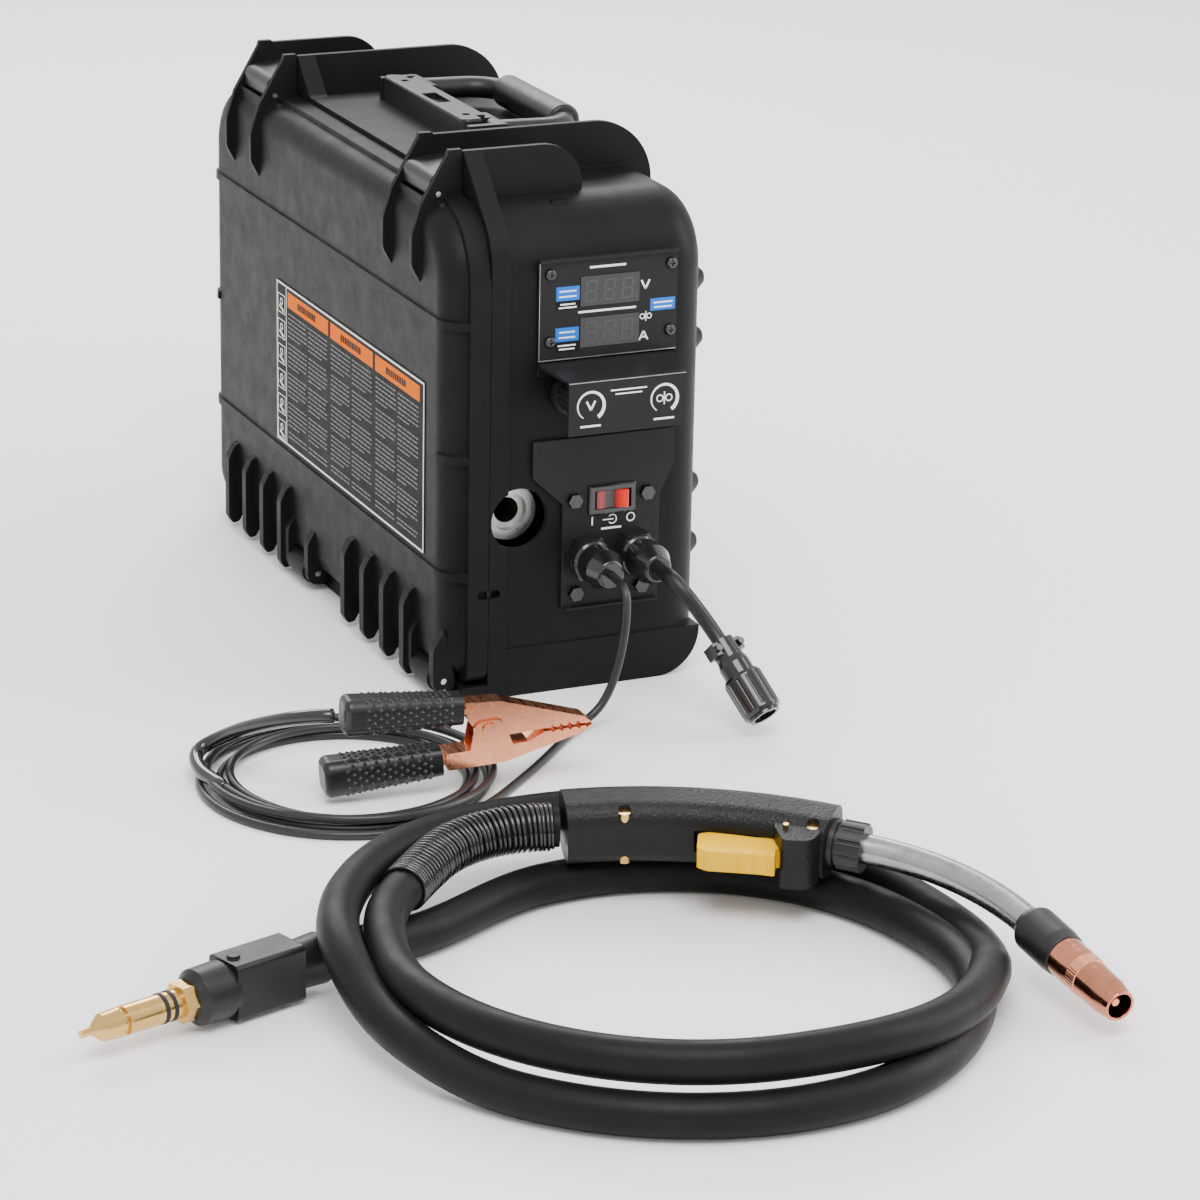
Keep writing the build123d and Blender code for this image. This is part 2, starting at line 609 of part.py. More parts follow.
with BuildPart() as cable_glands:
    for gland_x, cord_radius in zip(GLAND_XS, (LEAD_DIAMETER / 2, CONTROL_DIAMETER / 2)):
        with BuildSketch(Plane.XZ.offset(-PLATE_Y)):
            with Locations((gland_x, GLAND_Z)):
                RegularPolygon(14.2, 6)
        extrude(amount=9)
        with BuildSketch(Plane.YZ.offset(gland_x)):
            outline(
                [(PLATE_Y + 12, GLAND_Z), (PLATE_Y + 12, GLAND_Z + 9), (PLATE_Y - 8, GLAND_Z + 9),
                 (PLATE_Y - 8, GLAND_Z + 12.6), (PLATE_Y - 12, GLAND_Z + 12.6), (PLATE_Y - 14, GLAND_Z + 10.8),
                 (PLATE_Y - 17, GLAND_Z + 12.3), (PLATE_Y - 28, GLAND_Z + 12.3), (GLAND_FRONT_Y, GLAND_Z + 8),
                 (GLAND_FRONT_Y, GLAND_Z)],
                [0, 0, 0, 0.5, 1, 1, 1, 4, 2, 0],
            )
        revolve(axis=Axis((gland_x, 0, GLAND_Z), (0, 1, 0)))
        with BuildSketch(Plane.XZ.offset(-FACE_Y - WALL)):
            with Locations((gland_x, GLAND_Z)):
                RegularPolygon(13.6, 6)
                Circle(9, mode=Mode.SUBTRACT)
        extrude(amount=-4)
        with BuildSketch(Plane.XZ.offset(-GLAND_FRONT_Y + 1)):
            with Locations((gland_x, GLAND_Z)):
                Circle(cord_radius)
        extrude(amount=-GLAND_BORE - 1, mode=Mode.SUBTRACT)
keep("cable_glands", cable_glands)


# ------------------------------------------------------------- carrying handle
with BuildPart() as handle_bracket:
    with BuildSketch(Plane.XY.offset(PAD_Z)):
        outline(
            [(-17, -64), (HANDLE_PIVOT[0] - 5, -64), (HANDLE_PIVOT[0] - 5, 64), (-17, 74), ],
            [5, 0, 0, 5],
        )
    extrude(amount=16)
    fillet(handle_bracket.faces().sort_by(Axis.Z)[-1].edges().sort_by(Axis.X)[0], 2)
    # recessed top and two dimples
    with BuildSketch(Plane.XY.offset(PAD_Z + 16)):
        with Locations((-9.2, -1.5)):
            RectangleRounded(9.6, 27, 1.5)
        with Locations((-9.5, 50), (-9.5, -50)):
            Circle(2.6)
    extrude(amount=-3.5, mode=Mode.SUBTRACT)
    # hinge lugs and pins for the handle
    for side in (-1, 1):
        for lug_y, lug_width in ((HANDLE_Y - 14.5, 14.4), (HANDLE_Y + 9.7, 4.8)):
            with BuildSketch(Plane.XZ.offset(-side * lug_y - lug_width / 2)):
                with Locations(HANDLE_PIVOT):
                    Circle(6.9)
                with Locations((HANDLE_PIVOT[0] - 11.5, PAD_Z + 7)):
                    Rectangle(23, 14)
            extrude(amount=lug_width)
        with Locations((HANDLE_PIVOT[0] - 2.5, side * HANDLE_Y, PAD_Z + 8)):
            Box(17, 14.6, 18, mode=Mode.SUBTRACT)
        with BuildSketch(Plane.XZ.offset(-side * HANDLE_Y - 7.4)):
            with Locations(HANDLE_PIVOT):
                Circle(3)
        extrude(amount=14.8)
keep("handle_bracket", handle_bracket)

with BuildPart() as handle_frame:
    # grip bar
    with BuildSketch(Plane.XZ.offset(-HANDLE_Y + 16)):
        with Locations((HANDLE_X, HANDLE_PIVOT[1] - 1.5)):
            Circle(GRIP_RADIUS)
    extrude(amount=2 * HANDLE_Y - 32)
    fillet(handle_frame.edges(), 2.5)
    # arms with rounded corners
    with BuildLine() as arms:
        FilletPolyline(
            (HANDLE_PIVOT[0], -HANDLE_Y, HANDLE_PIVOT[1]), (HANDLE_X, -HANDLE_Y, HANDLE_PIVOT[1] - 1.5),
            (HANDLE_X, HANDLE_Y, HANDLE_PIVOT[1] - 1.5), (HANDLE_PIVOT[0], HANDLE_Y, HANDLE_PIVOT[1]),
            radius=24,
        )
    with BuildSketch(Plane(origin=arms.line @ 0, z_dir=arms.line % 0)):
        Circle(6.8)
    sweep(path=arms.line)
    for side in (-1, 1):
        with BuildSketch(Plane.XZ.offset(-side * HANDLE_Y - 6.9)):
            with Locations(HANDLE_PIVOT):
                Circle(6.9)
        extrude(amount=13.8)
        with BuildSketch(Plane.XZ.offset(-side * HANDLE_Y - 8)):
            with Locations(HANDLE_PIVOT):
                Circle(3.05)
        extrude(amount=16, mode=Mode.SUBTRACT)
keep("handle_frame", handle_frame)

# ------------------------------------------------------------ inside: structure
with BuildPart() as mount_panel:
    with BuildSketch(Plane.YZ.offset(PANEL_X)):
        outline([(PANEL_FRONT_Y, 13), (195, 13), (195, 287), (PANEL_FRONT_Y, 287)], [8, 12, 38, 38])
        with Locations((ROLL_Y, ROLL_Z)):
            Circle(11, mode=Mode.SUBTRACT)
        with Locations((SPOOL_Y, SPOOL_Z)):
            Circle(6, mode=Mode.SUBTRACT)
    extrude(amount=PANEL_THICK)
keep("mount_panel", mount_panel)

with BuildPart() as spool_spindle:
    with BuildSketch(Plane.YZ.offset(PANEL_X)):
        with Locations((SPOOL_Y, SPOOL_Z)):
            Circle(38)
    extrude(amount=-3.5)
    with BuildSketch(Plane.YZ.offset(PANEL_X)):
        with Locations((SPOOL_Y, SPOOL_Z)):
            Circle(SPINDLE_RADIUS)
    extrude(amount=SPOOL_X0 - PANEL_X)
    # threaded end for the nut, and the bolt through the divider
    with BuildSketch(Plane.YZ.offset(SPOOL_X0)):
        with Locations((SPOOL_Y, SPOOL_Z)):
            Circle(8)
    extrude(amount=-8)
    with BuildSketch(Plane.YZ.offset(PANEL_X)):
        with Locations((SPOOL_Y, SPOOL_Z)):
            Circle(6)
    extrude(amount=PANEL_THICK + 6)
keep("spool_spindle", spool_spindle)

with BuildPart() as spool_nut:
    with BuildSketch(Plane.YZ.offset(SPOOL_X0 - 0.3)):
        with Locations((SPOOL_Y, SPOOL_Z)):
            Circle(30)
            with PolarLocations(30, 8):
                Circle(4, mode=Mode.SUBTRACT)
            Circle(8.05, mode=Mode.SUBTRACT)
    extrude(amount=-7.5)
keep("spool_nut", spool_nut)

with BuildPart() as wire_spool:
    for flange_x in (SPOOL_X0, SPOOL_X1 - 3):
        with BuildSketch(Plane.YZ.offset(flange_x)):
            with Locations((SPOOL_Y, SPOOL_Z)):
                Circle(SPOOL_RADIUS)
                with PolarLocations(38, 6):
                    Circle(7, mode=Mode.SUBTRACT)
        extrude(amount=3)
    with BuildSketch(Plane.YZ.offset(SPOOL_X0)):
        with Locations((SPOOL_Y, SPOOL_Z)):
            Circle(50)
            Circle(47, mode=Mode.SUBTRACT)
            Circle(29)
    extrude(amount=SPOOL_X1 - SPOOL_X0)
    with BuildSketch(Plane.YZ.offset(SPOOL_X0 - 1)):
        with Locations((SPOOL_Y, SPOOL_Z)):
            Circle(SPINDLE_RADIUS + 0.08)
    extrude(amount=SPOOL_X1 - SPOOL_X0 + 2, mode=Mode.SUBTRACT)
keep("wire_spool", wire_spool)

with BuildPart() as wire_winding:
    with BuildSketch(Plane.YZ.offset(SPOOL_X0 + 3)):
        with Locations((SPOOL_Y, SPOOL_Z)):
            Circle(86)
            Circle(50, mode=Mode.SUBTRACT)
    extrude(amount=SPOOL_X1 - SPOOL_X0 - 6)
keep("wire_winding", wire_winding)

# -------------------------------------------------------------- inside: drive
with BuildPart() as drive_housing:
    with BuildSketch(Plane.YZ.offset(HOUSING_X)):
        outline([(-150, 66), (-56, 66), (-56, 146), (-150, 146)], [10, 10, 16, 16])
    extrude(amount=PANEL_X - HOUSING_X)
    # lugs for the inlet guide and the gun receptacle
    with Locations(((WIRE_EDGE_X + HOUSING_X) / 2, -72, RECEPTACLE_Z)):
        Box(HOUSING_X - WIRE_EDGE_X, 20, 22)
    with Locations(((WIRE_EDGE_X + HOUSING_X) / 2 - 4, -139, RECEPTACLE_Z)):
        Box(HOUSING_X - WIRE_EDGE_X + 8, 22, 32)
    with BuildSketch(Plane.XZ.offset(50)):
        with Locations((RECEPTACLE_X, RECEPTACLE_Z)):
            Circle(GUIDE_RADIUS)
    extrude(amount=40, mode=Mode.SUBTRACT)
    with BuildSketch(Plane.XZ.offset(120)):
        with Locations((RECEPTACLE_X, RECEPTACLE_Z)):
            Circle(STEM_RADIUS)
    extrude(amount=40, mode=Mode.SUBTRACT)
    # stud for the pressure arm, and the bore of the drive shaft
    with BuildSketch(Plane.YZ.offset(PANEL_X)):
        with Locations(ARM_PIVOT):
            Circle(3)
    extrude(amount=ARM_X - PANEL_X - 1)
    with BuildSketch(Plane.YZ.offset(PANEL_X)):
        with Locations((ROLL_Y, ROLL_Z)):
            Circle(SHAFT_RADIUS + 0.05)
    extrude(amount=HOUSING_X - PANEL_X, mode=Mode.SUBTRACT)
keep("drive_housing", drive_housing)

with BuildPart() as drive_motor:
    with BuildSketch(Plane.YZ.offset(PANEL_X + PANEL_THICK)):
        with Locations((ROLL_Y, ROLL_Z)):
            RectangleRounded(70, 62, 8)
    extrude(amount=20)
    with BuildSketch(Plane.YZ.offset(PANEL_X + PANEL_THICK + 20)):
        with Locations((ROLL_Y, ROLL_Z)):
            Circle(27)
    extrude(amount=54)
    fillet(drive_motor.faces().sort_by(Axis.X)[-1].edges(), 3)
    with BuildSketch(Plane.YZ.offset(PANEL_X)):
        with Locations((ROLL_Y, ROLL_Z)):
            Circle(10.9)
            Circle(SHAFT_RADIUS + 0.6, mode=Mode.SUBTRACT)
    extrude(amount=PANEL_THICK)
keep("drive_motor", drive_motor)


def gear_outline(centre, phase):
    """An involute spur gear, drawn tooth by tooth from its formula."""
    base_radius = PITCH_RADIUS * math.cos(math.radians(20))
    half_tooth = math.pi / 2 / GEAR_TEETH - GEAR_BACKLASH / PITCH_RADIUS

    def involute(angle):
        return math.tan(angle) - angle

    flank = []
    for radius in (GEAR_ROOT, base_radius, PITCH_RADIUS, GEAR_TIP):
        pressure = math.acos(min(1.0, base_radius / radius))
        flank.append((radius, half_tooth + involute(math.radians(20)) - involute(pressure)))
    corners = []
    for tooth in range(GEAR_TEETH):
        middle = math.radians(phase) + 2 * math.pi * tooth / GEAR_TEETH
        spread = [(r, middle - a) for r, a in flank] + [(r, middle + a) for r, a in reversed(flank)]
        corners += [(centre[0] + r * math.cos(a), centre[1] + r * math.sin(a)) for r, a in spread]
    with BuildLine() as loop:
        Polyline(*corners, close=True)
    return make_face(loop.edges())


with BuildPart() as drive_gear:
    with BuildSketch(Plane.YZ.offset(GEAR_X)):
        gear_outline((ROLL_Y, ROLL_Z), 0)
    extrude(amount=-GEAR_WIDTH)
    with BuildSketch(Plane.YZ.offset(PANEL_X - 0.3)):
        with Locations((ROLL_Y, ROLL_Z)):
            Circle(SHAFT_RADIUS)
    extrude(amount=-41)
keep("drive_gear", drive_gear)

with BuildPart() as drive_roll:
    with BuildSketch(Plane.XY.offset(ROLL_Z)):
        outline(
            [(ROLL_X0, ROLL_Y - 15), (ROLL_X0, ROLL_Y - SHAFT_RADIUS), (ROLL_X1, ROLL_Y - SHAFT_RADIUS),
             (ROLL_X1, ROLL_Y - 15), (RECEPTACLE_X + 1, ROLL_Y - 15), (RECEPTACLE_X, ROLL_Y - 14),
             (RECEPTACLE_X - 1, ROLL_Y - 15)],
            0,
        )
    revolve(axis=Axis((0, ROLL_Y, ROLL_Z), (1, 0, 0)))
keep("drive_roll", drive_roll)

with BuildPart() as pressure_roll:
    with BuildSketch(Plane.YZ.offset(GEAR_X)):
        gear_outline((ROLL_Y, PRESSURE_Z), 180 / GEAR_TEETH)
    extrude(amount=-GEAR_WIDTH)
    with BuildSketch(Plane.YZ.offset(GEAR_X - GEAR_WIDTH)):
        with Locations((ROLL_Y, PRESSURE_Z)):
            Circle(15)
    extrude(amount=ROLL_X0 - GEAR_X + GEAR_WIDTH)
    with BuildSketch(Plane.YZ.offset(ROLL_X0 - 1)):
        with Locations((ROLL_Y, PRESSURE_Z)):
            Circle(SHAFT_RADIUS + 0.05)
    extrude(amount=30, mode=Mode.SUBTRACT)
keep("pressure_roll", pressure_roll)

with BuildPart() as pressure_arm:
    with BuildSketch(Plane.YZ.offset(ARM_X)):
        with Locations(ARM_PIVOT):
            Circle(7.5)
        outline(
            [(-68, 130), (-100, 118), (-116, 120), (-130, 131.5), (-150, 132), (-150, 138.5),
             (-120, 139), (-100, 142), (-70, 141.5)],
            [0, 6, 6, 3, 2, 2, 6, 6, 0],
        )
    extrude(amount=5)
    # boss on the stud and pin through the roll
    with BuildSketch(Plane.YZ.offset(ARM_X)):
        with Locations(ARM_PIVOT):
            Circle(6.8)
    extrude(amount=HOUSING_X - 0.5 - ARM_X)
    with BuildSketch(Plane.YZ.offset(ARM_X)):
        with Locations((ROLL_Y, PRESSURE_Z)):
            Circle(SHAFT_RADIUS)
    extrude(amount=28)
    # front bridge under the tension knob
    with Locations((KNOB_STEM_X, -142, 136)):
        Box(15, 15, 8)
    with BuildSketch(Plane.YZ.offset(ARM_X - 12)):
        with Locations(ARM_PIVOT):
            Circle(3.05)
    extrude(amount=40, mode=Mode.SUBTRACT)
    with BuildSketch(Plane.XY.offset(120)):
        with Locations((KNOB_STEM_X, -142)):
            Circle(3.05)
    extrude(amount=30, mode=Mode.SUBTRACT)
keep("pressure_arm", pressure_arm)

with BuildPart() as tension_knob:
    with BuildSketch(Plane.XY.offset(128)):
        with Locations((KNOB_STEM_X, -142)):
            Circle(3)
    extrude(amount=14)
    with BuildSketch(Plane.XY.offset(140.3)):
        with Locations((KNOB_STEM_X, -142)):
            Circle(9)
            with PolarLocations(9, 8):
                Circle(1.6, mode=Mode.SUBTRACT)
    extrude(amount=28)
    fillet(tension_knob.faces().sort_by(Axis.Z)[-1].edges(), 0.8)
keep("tension_knob", tension_knob)

with BuildPart() as inlet_guide:
    with BuildSketch(Plane.YZ.offset(RECEPTACLE_X)):
        outline(
            [(-87, RECEPTACLE_Z + 0.9), (-87, RECEPTACLE_Z + 2.2), (-82, RECEPTACLE_Z + GUIDE_RADIUS),
             (-46, RECEPTACLE_Z + GUIDE_RADIUS), (-36, RECEPTACLE_Z + 7), (-32, RECEPTACLE_Z + 7),
             (-38, RECEPTACLE_Z + 0.9)],
            0,
        )
    revolve(axis=Axis((RECEPTACLE_X, 0, RECEPTACLE_Z), (0, 1, 0)))
keep("inlet_guide", inlet_guide)

with BuildPart() as gun_receptacle:
    with BuildSketch(Plane.XZ.offset(-RECEPTACLE_Y - 34)):
        with Locations((RECEPTACLE_X, RECEPTACLE_Z)):
            Circle(17)
    extrude(amount=34)
    with BuildSketch(Plane.XZ.offset(-RECEPTACLE_Y)):
        with Locations((RECEPTACLE_X, RECEPTACLE_Z)):
            Circle(17.4)
            Circle(11.6, mode=Mode.SUBTRACT)
        with Locations((RECEPTACLE_X - 12, RECEPTACLE_Z + 14)):
            Rectangle(16, 12, mode=Mode.SUBTRACT)
    extrude(amount=4)
    with BuildSketch(Plane.XZ.offset(124)):
        with Locations((RECEPTACLE_X, RECEPTACLE_Z)):
            Circle(STEM_RADIUS)
    extrude(amount=30)
    with BuildSketch(Plane.XZ.offset(-RECEPTACLE_Y + 5)):
        with Locations((RECEPTACLE_X, RECEPTACLE_Z)):
            Circle(BORE_RADIUS)
    extrude(amount=-68, mode=Mode.SUBTRACT)
keep("gun_receptacle", gun_receptacle)

# -------------------------------------------------------- inside: electronics
with BuildPart() as control_board:
    with BuildSketch(Plane.YZ.offset(44)):
        with Locations((0, 150)):
            Rectangle(130, 170)
    extrude(amount=1.6)
    with BuildSketch(Plane.YZ.offset(44)):
        with Locations((0, 150)):
            with GridLocations(114, 154, 2, 2):
                Circle(3)
    extrude(amount=PANEL_X + PANEL_THICK - 44)
    for part_y, part_z, wide, tall, deep in (
        (-40, 200, 24, 24, 14), (-38, 160, 30, 10, 10), (10, 205, 16, 16, 3), (35, 190, 14, 30, 18),
        (38, 120, 20, 34, 12), (-20, 105, 12, 40, 6), (-45, 110, 10, 20, 12),
    ):
        with Locations((45.6 + deep / 2, part_y, part_z)):
            Box(deep, wide, tall)
keep("control_board", control_board)

with BuildPart() as contactor:
    with Locations((PANEL_X + PANEL_THICK + 22, 122, 190)):
        Box(44, 56, 66)
    chamfer(contactor.edges().filter_by(Axis.X), 4)
    for terminal in (-14, 14):
        with Locations((PANEL_X + PANEL_THICK + 44, 122 + terminal, 205)):
            Cylinder(5, 18, rotation=(0, 90, 0))
keep("contactor", contactor)

with BuildPart() as gas_valve:
    with Locations((GAS_X, 168, GAS_Z)):
        Box(26, 36, 26)
    with BuildSketch(Plane.XZ.offset(-186)):
        with Locations((GAS_X, GAS_Z)):
            Circle(GAS_RADIUS)
    extrude(amount=-34)
    with BuildSketch(Plane.XZ.offset(-PAN_HALF)):
        with Locations((GAS_X, GAS_Z)):
            RegularPolygon(11, 6)
    extrude(amount=-6)
    with BuildSketch(Plane.XZ.offset(-221)):
        with Locations((GAS_X, GAS_Z)):
            Circle(3.2)
    extrude(amount=30, mode=Mode.SUBTRACT)
    with Locations((GAS_X, 168, GAS_Z + 13)):
        Cylinder(10, 22, align=(Align.CENTER, Align.CENTER, Align.MIN))
keep("gas_valve", gas_valve)


# ----------------------------------------------------- sense lead and its clamp
LEAD_ROUTE = (
    (GLAND_XS[0], GLAND_FRONT_Y + GLAND_BORE, GLAND_Z), (GLAND_XS[0], -270, GLAND_Z),
    (1, -272, 46), (-30, -276, 4), (-70, -318, 2.6), (-122, -366, 2.6),
)
SLEEVE_ROUTE = (
    (-198.4, -324.0, 50.5), (-215, -318, 50.5), (-234, -281, 34), (-244, -258, 20),
    (-258, -256, 13), (-262, -276, 9.5), (-258, -296, 9),
)

with BuildPart() as sense_lead:
    for route in (LEAD_ROUTE, SLEEVE_ROUTE):
        with BuildLine() as line:
            cord_line(route)
        with BuildSketch(Plane(origin=line.line @ 0, z_dir=line.line % 0)):
            Circle(LEAD_DIAMETER / 2)
        sweep(path=line.line)
keep("sense_lead", sense_lead)

with BuildPart() as sense_coil:
    with BuildSketch(Plane.XY):
        with Locations(LEAD_CENTRE):
            Circle(LEAD_OUTER)
            Circle(LEAD_INNER, mode=Mode.SUBTRACT)
    extrude(amount=LEAD_HEIGHT)
    fillet(sense_coil.edges(), 4)
keep("sense_coil", sense_coil)

clamp_x = Vector(*CLAMP_HEADING).normalized()
clamp_y = Vector(0, 0, 1).cross(clamp_x).normalized()
CLAMP = Plane(origin=CLAMP_REAR, x_dir=clamp_x, z_dir=clamp_x.cross(clamp_y))


def clamp_grip(rear, front):
    """A rounded grip sleeve between two points of the clamp's x-z plane."""
    heading = Vector(front[0] - rear[0], 0, front[1] - rear[1])
    start = CLAMP.from_local_coords(Vector(rear[0], 0, rear[1]))
    along = (CLAMP.x_dir * heading.X + CLAMP.z_dir * heading.Z).normalized()
    square = Plane(origin=start, x_dir=CLAMP.y_dir, z_dir=along)
    with BuildPart() as grip:
        with BuildSketch(square):
            RectangleRounded(22, 22, 7)
        with BuildSketch(square.offset(heading.length)):
            RectangleRounded(18, 17, 5)
        loft()
        fillet(grip.faces().sort_by(Axis(square.origin, square.z_dir))[0].edges(), 4)
        with BuildSketch(square.offset(heading.length)):
            Rectangle(*TANG)
        extrude(amount=-40, mode=Mode.SUBTRACT)
    return grip, square, heading.length


def clamp_tang(square, length):
    """The steel strip that the grip is pushed on, joined to a jaw."""
    with BuildSketch(square.offset(length - 40)) as strip:
        Rectangle(*TANG)
    return extrude(strip.sketch, amount=48)


lower_grip, lower_square, lower_length = clamp_grip((0, 0), (68, 0))
keep("clamp_lower_grip", lower_grip)
upper_grip, upper_square, upper_length = clamp_grip((14, 35), (82, 28.5))
keep("clamp_upper_grip", upper_grip)

with BuildPart() as clamp_lower_jaw:
    clamp_tang(lower_square, lower_length)
    with BuildSketch(side_plane(CLAMP, 8)):
        outline(
            [(70, -5), (104, -5), (150, 5.5), (156, 9.2), (128, 9.4), (118, 5), (70, 5)],
            [2, 8, 2, 0, 0, 2, 0],
        )
    extrude(amount=16)
    for side in (-8, 6.4):
        with BuildSketch(side_plane(CLAMP, side + 1.6)):
            outline([(84, 2), (88, 21), (104, 21), (110, 2)], [0, 6, 6, 0])
        extrude(amount=1.6)
    with BuildSketch(side_plane(CLAMP, 9.6)):
        with Locations(CLAMP_PIVOT):
            Circle(2)
    extrude(amount=19.2)
    for side in (8, -9.6):
        with BuildSketch(side_plane(CLAMP, side + 1.6)):
            with Locations(CLAMP_PIVOT):
                Circle(4)
        extrude(amount=1.6)
    for tooth in range(5):
        with BuildSketch(side_plane(CLAMP, 9)):
            outline([(131 + 5 * tooth, 9.9), (133 + 5 * tooth, 8), (135 + 5 * tooth, 9.9)], 0)
        extrude(amount=18, mode=Mode.SUBTRACT)
keep("clamp_lower_jaw", clamp_lower_jaw)

with BuildPart() as clamp_upper_jaw:
    clamp_tang(upper_square, upper_length)
    with BuildSketch(side_plane(CLAMP, 6)):
        outline(
            [(84, 23), (92, 10), (100, 10), (124, 10.6), (156, 9.8), (152, 14), (104, 31), (84, 33)],
            [0, 4, 4, 2, 0, 2, 8, 0],
        )
        with Locations(CLAMP_PIVOT):
            Circle(2.05, mode=Mode.SUBTRACT)
    extrude(amount=12)
    for tooth in range(4):
        with BuildSketch(side_plane(CLAMP, 9)):
            outline([(131 + 5 * tooth, 9.5), (133 + 5 * tooth, 12), (135 + 5 * tooth, 9.5)], 0)
        extrude(amount=18, mode=Mode.SUBTRACT)
keep("clamp_upper_jaw", clamp_upper_jaw)

# --------------------------------------------------- control cord and connector
CONTROL_ROUTE = (
    (GLAND_XS[1], GLAND_FRONT_Y + GLAND_BORE, GLAND_Z), (GLAND_XS[1], -270, GLAND_Z),
    (52, -282, 58), CONNECTOR_BACK,
)
with BuildPart() as control_cord:
    with BuildLine() as line:
        cord_line(CONTROL_ROUTE)
    with BuildSketch(Plane(origin=line.line @ 0, z_dir=line.line % 0)):
        Circle(CONTROL_DIAMETER / 2)
    sweep(path=line.line)
keep("control_cord", control_cord)

plug_x = (Vector(*CONNECTOR_BACK) - Vector(52, -282, 58)).normalized()
PLUG = Plane(origin=CONNECTOR_BACK, x_dir=plug_x, z_dir=plug_x.cross(Vector(0, 0, 1)).cross(plug_x))


def turned(base, profile, radii):
    """A solid turned about the x axis of a local frame; profile is (along, radius)."""
    with BuildSketch(side_plane(base)) as half:
        outline(profile, radii)
    return revolve(half.sketch, axis=Axis(base.origin, base.x_dir))


with BuildPart() as connector_shell:
    turned(PLUG, [(0, 0), (0, 8), (12, 8.4), (16, 9.5), (52, 9.5), (52, 7.2), (44, 7.2), (44, 0)], 0)
    with BuildSketch(cross_plane(PLUG, 1)):
        Rectangle(23, 9)
    extrude(amount=8)
    # clamp screws either side of the cord
    for side in (-1, 1):
        with Locations(cross_plane(PLUG, 5, side * 9.2, 5.2)):
            Cylinder(2.2, 3.4, rotation=(90, 0, 0))
    for pin in range(7):
        angle = 2 * math.pi * pin / 7
        with BuildSketch(cross_plane(PLUG, 44, 4.6 * math.cos(angle), 4.6 * math.sin(angle))):
            Circle(0.8)
        extrude(amount=7)
keep("connector_shell", connector_shell)

with BuildPart() as connector_ring:
    turned(PLUG, [(24, 9.55), (24, 11), (26, 12), (48, 12), (50, 11), (50, 9.55)], 0)
    for groove in range(12):
        angle = 2 * math.pi * groove / 12
        with BuildSketch(cross_plane(PLUG, 27, 12.3 * math.cos(angle), 12.3 * math.sin(angle))):
            Circle(1.1)
        extrude(amount=20, mode=Mode.SUBTRACT)
keep("connector_ring", connector_ring)

# ------------------------------------------------------------------ welding gun
gun_x = Vector(*GUN_HEADING).normalized()
level_y = Vector(0, 0, 1).cross(gun_x)
gun_z = Vector(0, 0, 1) * math.cos(math.radians(GUN_ROLL)) - level_y * math.sin(math.radians(GUN_ROLL))
GUN = Plane(origin=GUN_REAR, x_dir=gun_x, z_dir=gun_z)
HANDLE_RADIUS = GUN_CHORD / 2 / math.sin(math.radians(GUN_ARC))
RISE = HANDLE_RADIUS * (1 - math.cos(math.radians(GUN_ARC)))


def on_gun(along, across):
    """A point of the gun's own x-y plane in world coordinates."""
    return GUN.from_local_coords(Vector(along, across, 0))


def gun_frame(along, across, turn):
    """A frame on the gun's axis whose x axis is turned from the gun's heading."""
    angle = math.radians(turn)
    heading = GUN.x_dir * math.cos(angle) + GUN.y_dir * math.sin(angle)
    return Plane(origin=on_gun(along, across), x_dir=heading, z_dir=GUN.z_dir)


FRONT = gun_frame(GUN_CHORD, 0, -GUN_ARC)
NECK_START = 18.0
neck_from = FRONT.from_local_coords(Vector(NECK_START, 0, 0))
bend = math.radians(NECK_BEND)
neck_to = FRONT.from_local_coords(
    Vector(NECK_START + NECK_RADIUS * math.sin(bend), -NECK_RADIUS * (1 - math.cos(bend)), 0)
)
neck_heading = FRONT.x_dir * math.cos(bend) - FRONT.y_dir * math.sin(bend)
HEAD = Plane(origin=neck_to, x_dir=neck_heading, z_dir=GUN.z_dir)

with BuildPart() as gun_handle:
    with BuildLine() as spine:
        ThreePointArc(on_gun(0, 0), on_gun(GUN_CHORD / 2, RISE), on_gun(GUN_CHORD, 0))
    section = Plane(origin=on_gun(0, 0), x_dir=GUN.z_dir, z_dir=spine.line % 0)
    with BuildSketch(section):
        RectangleRounded(36, 33, 11)
    sweep(path=spine.line)
    # lobe in front of the trigger, and the slot that the trigger sits in
    with BuildSketch(GUN.offset(-15)):
        outline([(108, 6), (112, -12), (117, -25), (132, -25), (136, -16), (138, 6)], [0, 6, 4, 8, 3, 0])
    extrude(amount=30)
    with BuildSketch(GUN.offset(-6.5)):
        outline([(69, -34), (70, -3), (126, -3), (126, -19), (116, -21), (115, -34)], [0, 2, 3, 2, 2, 0])
    extrude(amount=13, mode=Mode.SUBTRACT)
    with BuildSketch(GUN.offset(-25)):
        with Locations(TRIGGER_PIVOT):
            Circle(1.55)
        with Locations(*GUN_SCREW_SPOTS):
            Circle(3.4)
    extrude(amount=50, mode=Mode.SUBTRACT)
keep("gun_handle", gun_handle)

with BuildPart() as gun_screws:
    with BuildSketch(GUN.offset(-15)):
        with Locations(*GUN_SCREW_SPOTS):
            Circle(3.4)
    extrude(amount=30)
    with BuildSketch(GUN.offset(-17)):
        with Locations(TRIGGER_PIVOT):
            Circle(1.5)
    extrude(amount=34)
keep("gun_screws", gun_screws)

with BuildPart() as gun_trigger:
    with BuildSketch(GUN.offset(-6)):
        outline(
            [(72, -9), (78, -6.5), (104, -9.5), (122, -7), (124, -16), (113.5, -19.5), (113.5, -27.5),
             (104, -26.5), (78, -26), (72.5, -23)],
            [2, 3, 8, 3, 3, 1, 1, 6, 4, 2],
        )
        with Locations(TRIGGER_PIVOT):
            Circle(1.55, mode=Mode.SUBTRACT)
    extrude(amount=12)
keep("gun_trigger", gun_trigger)

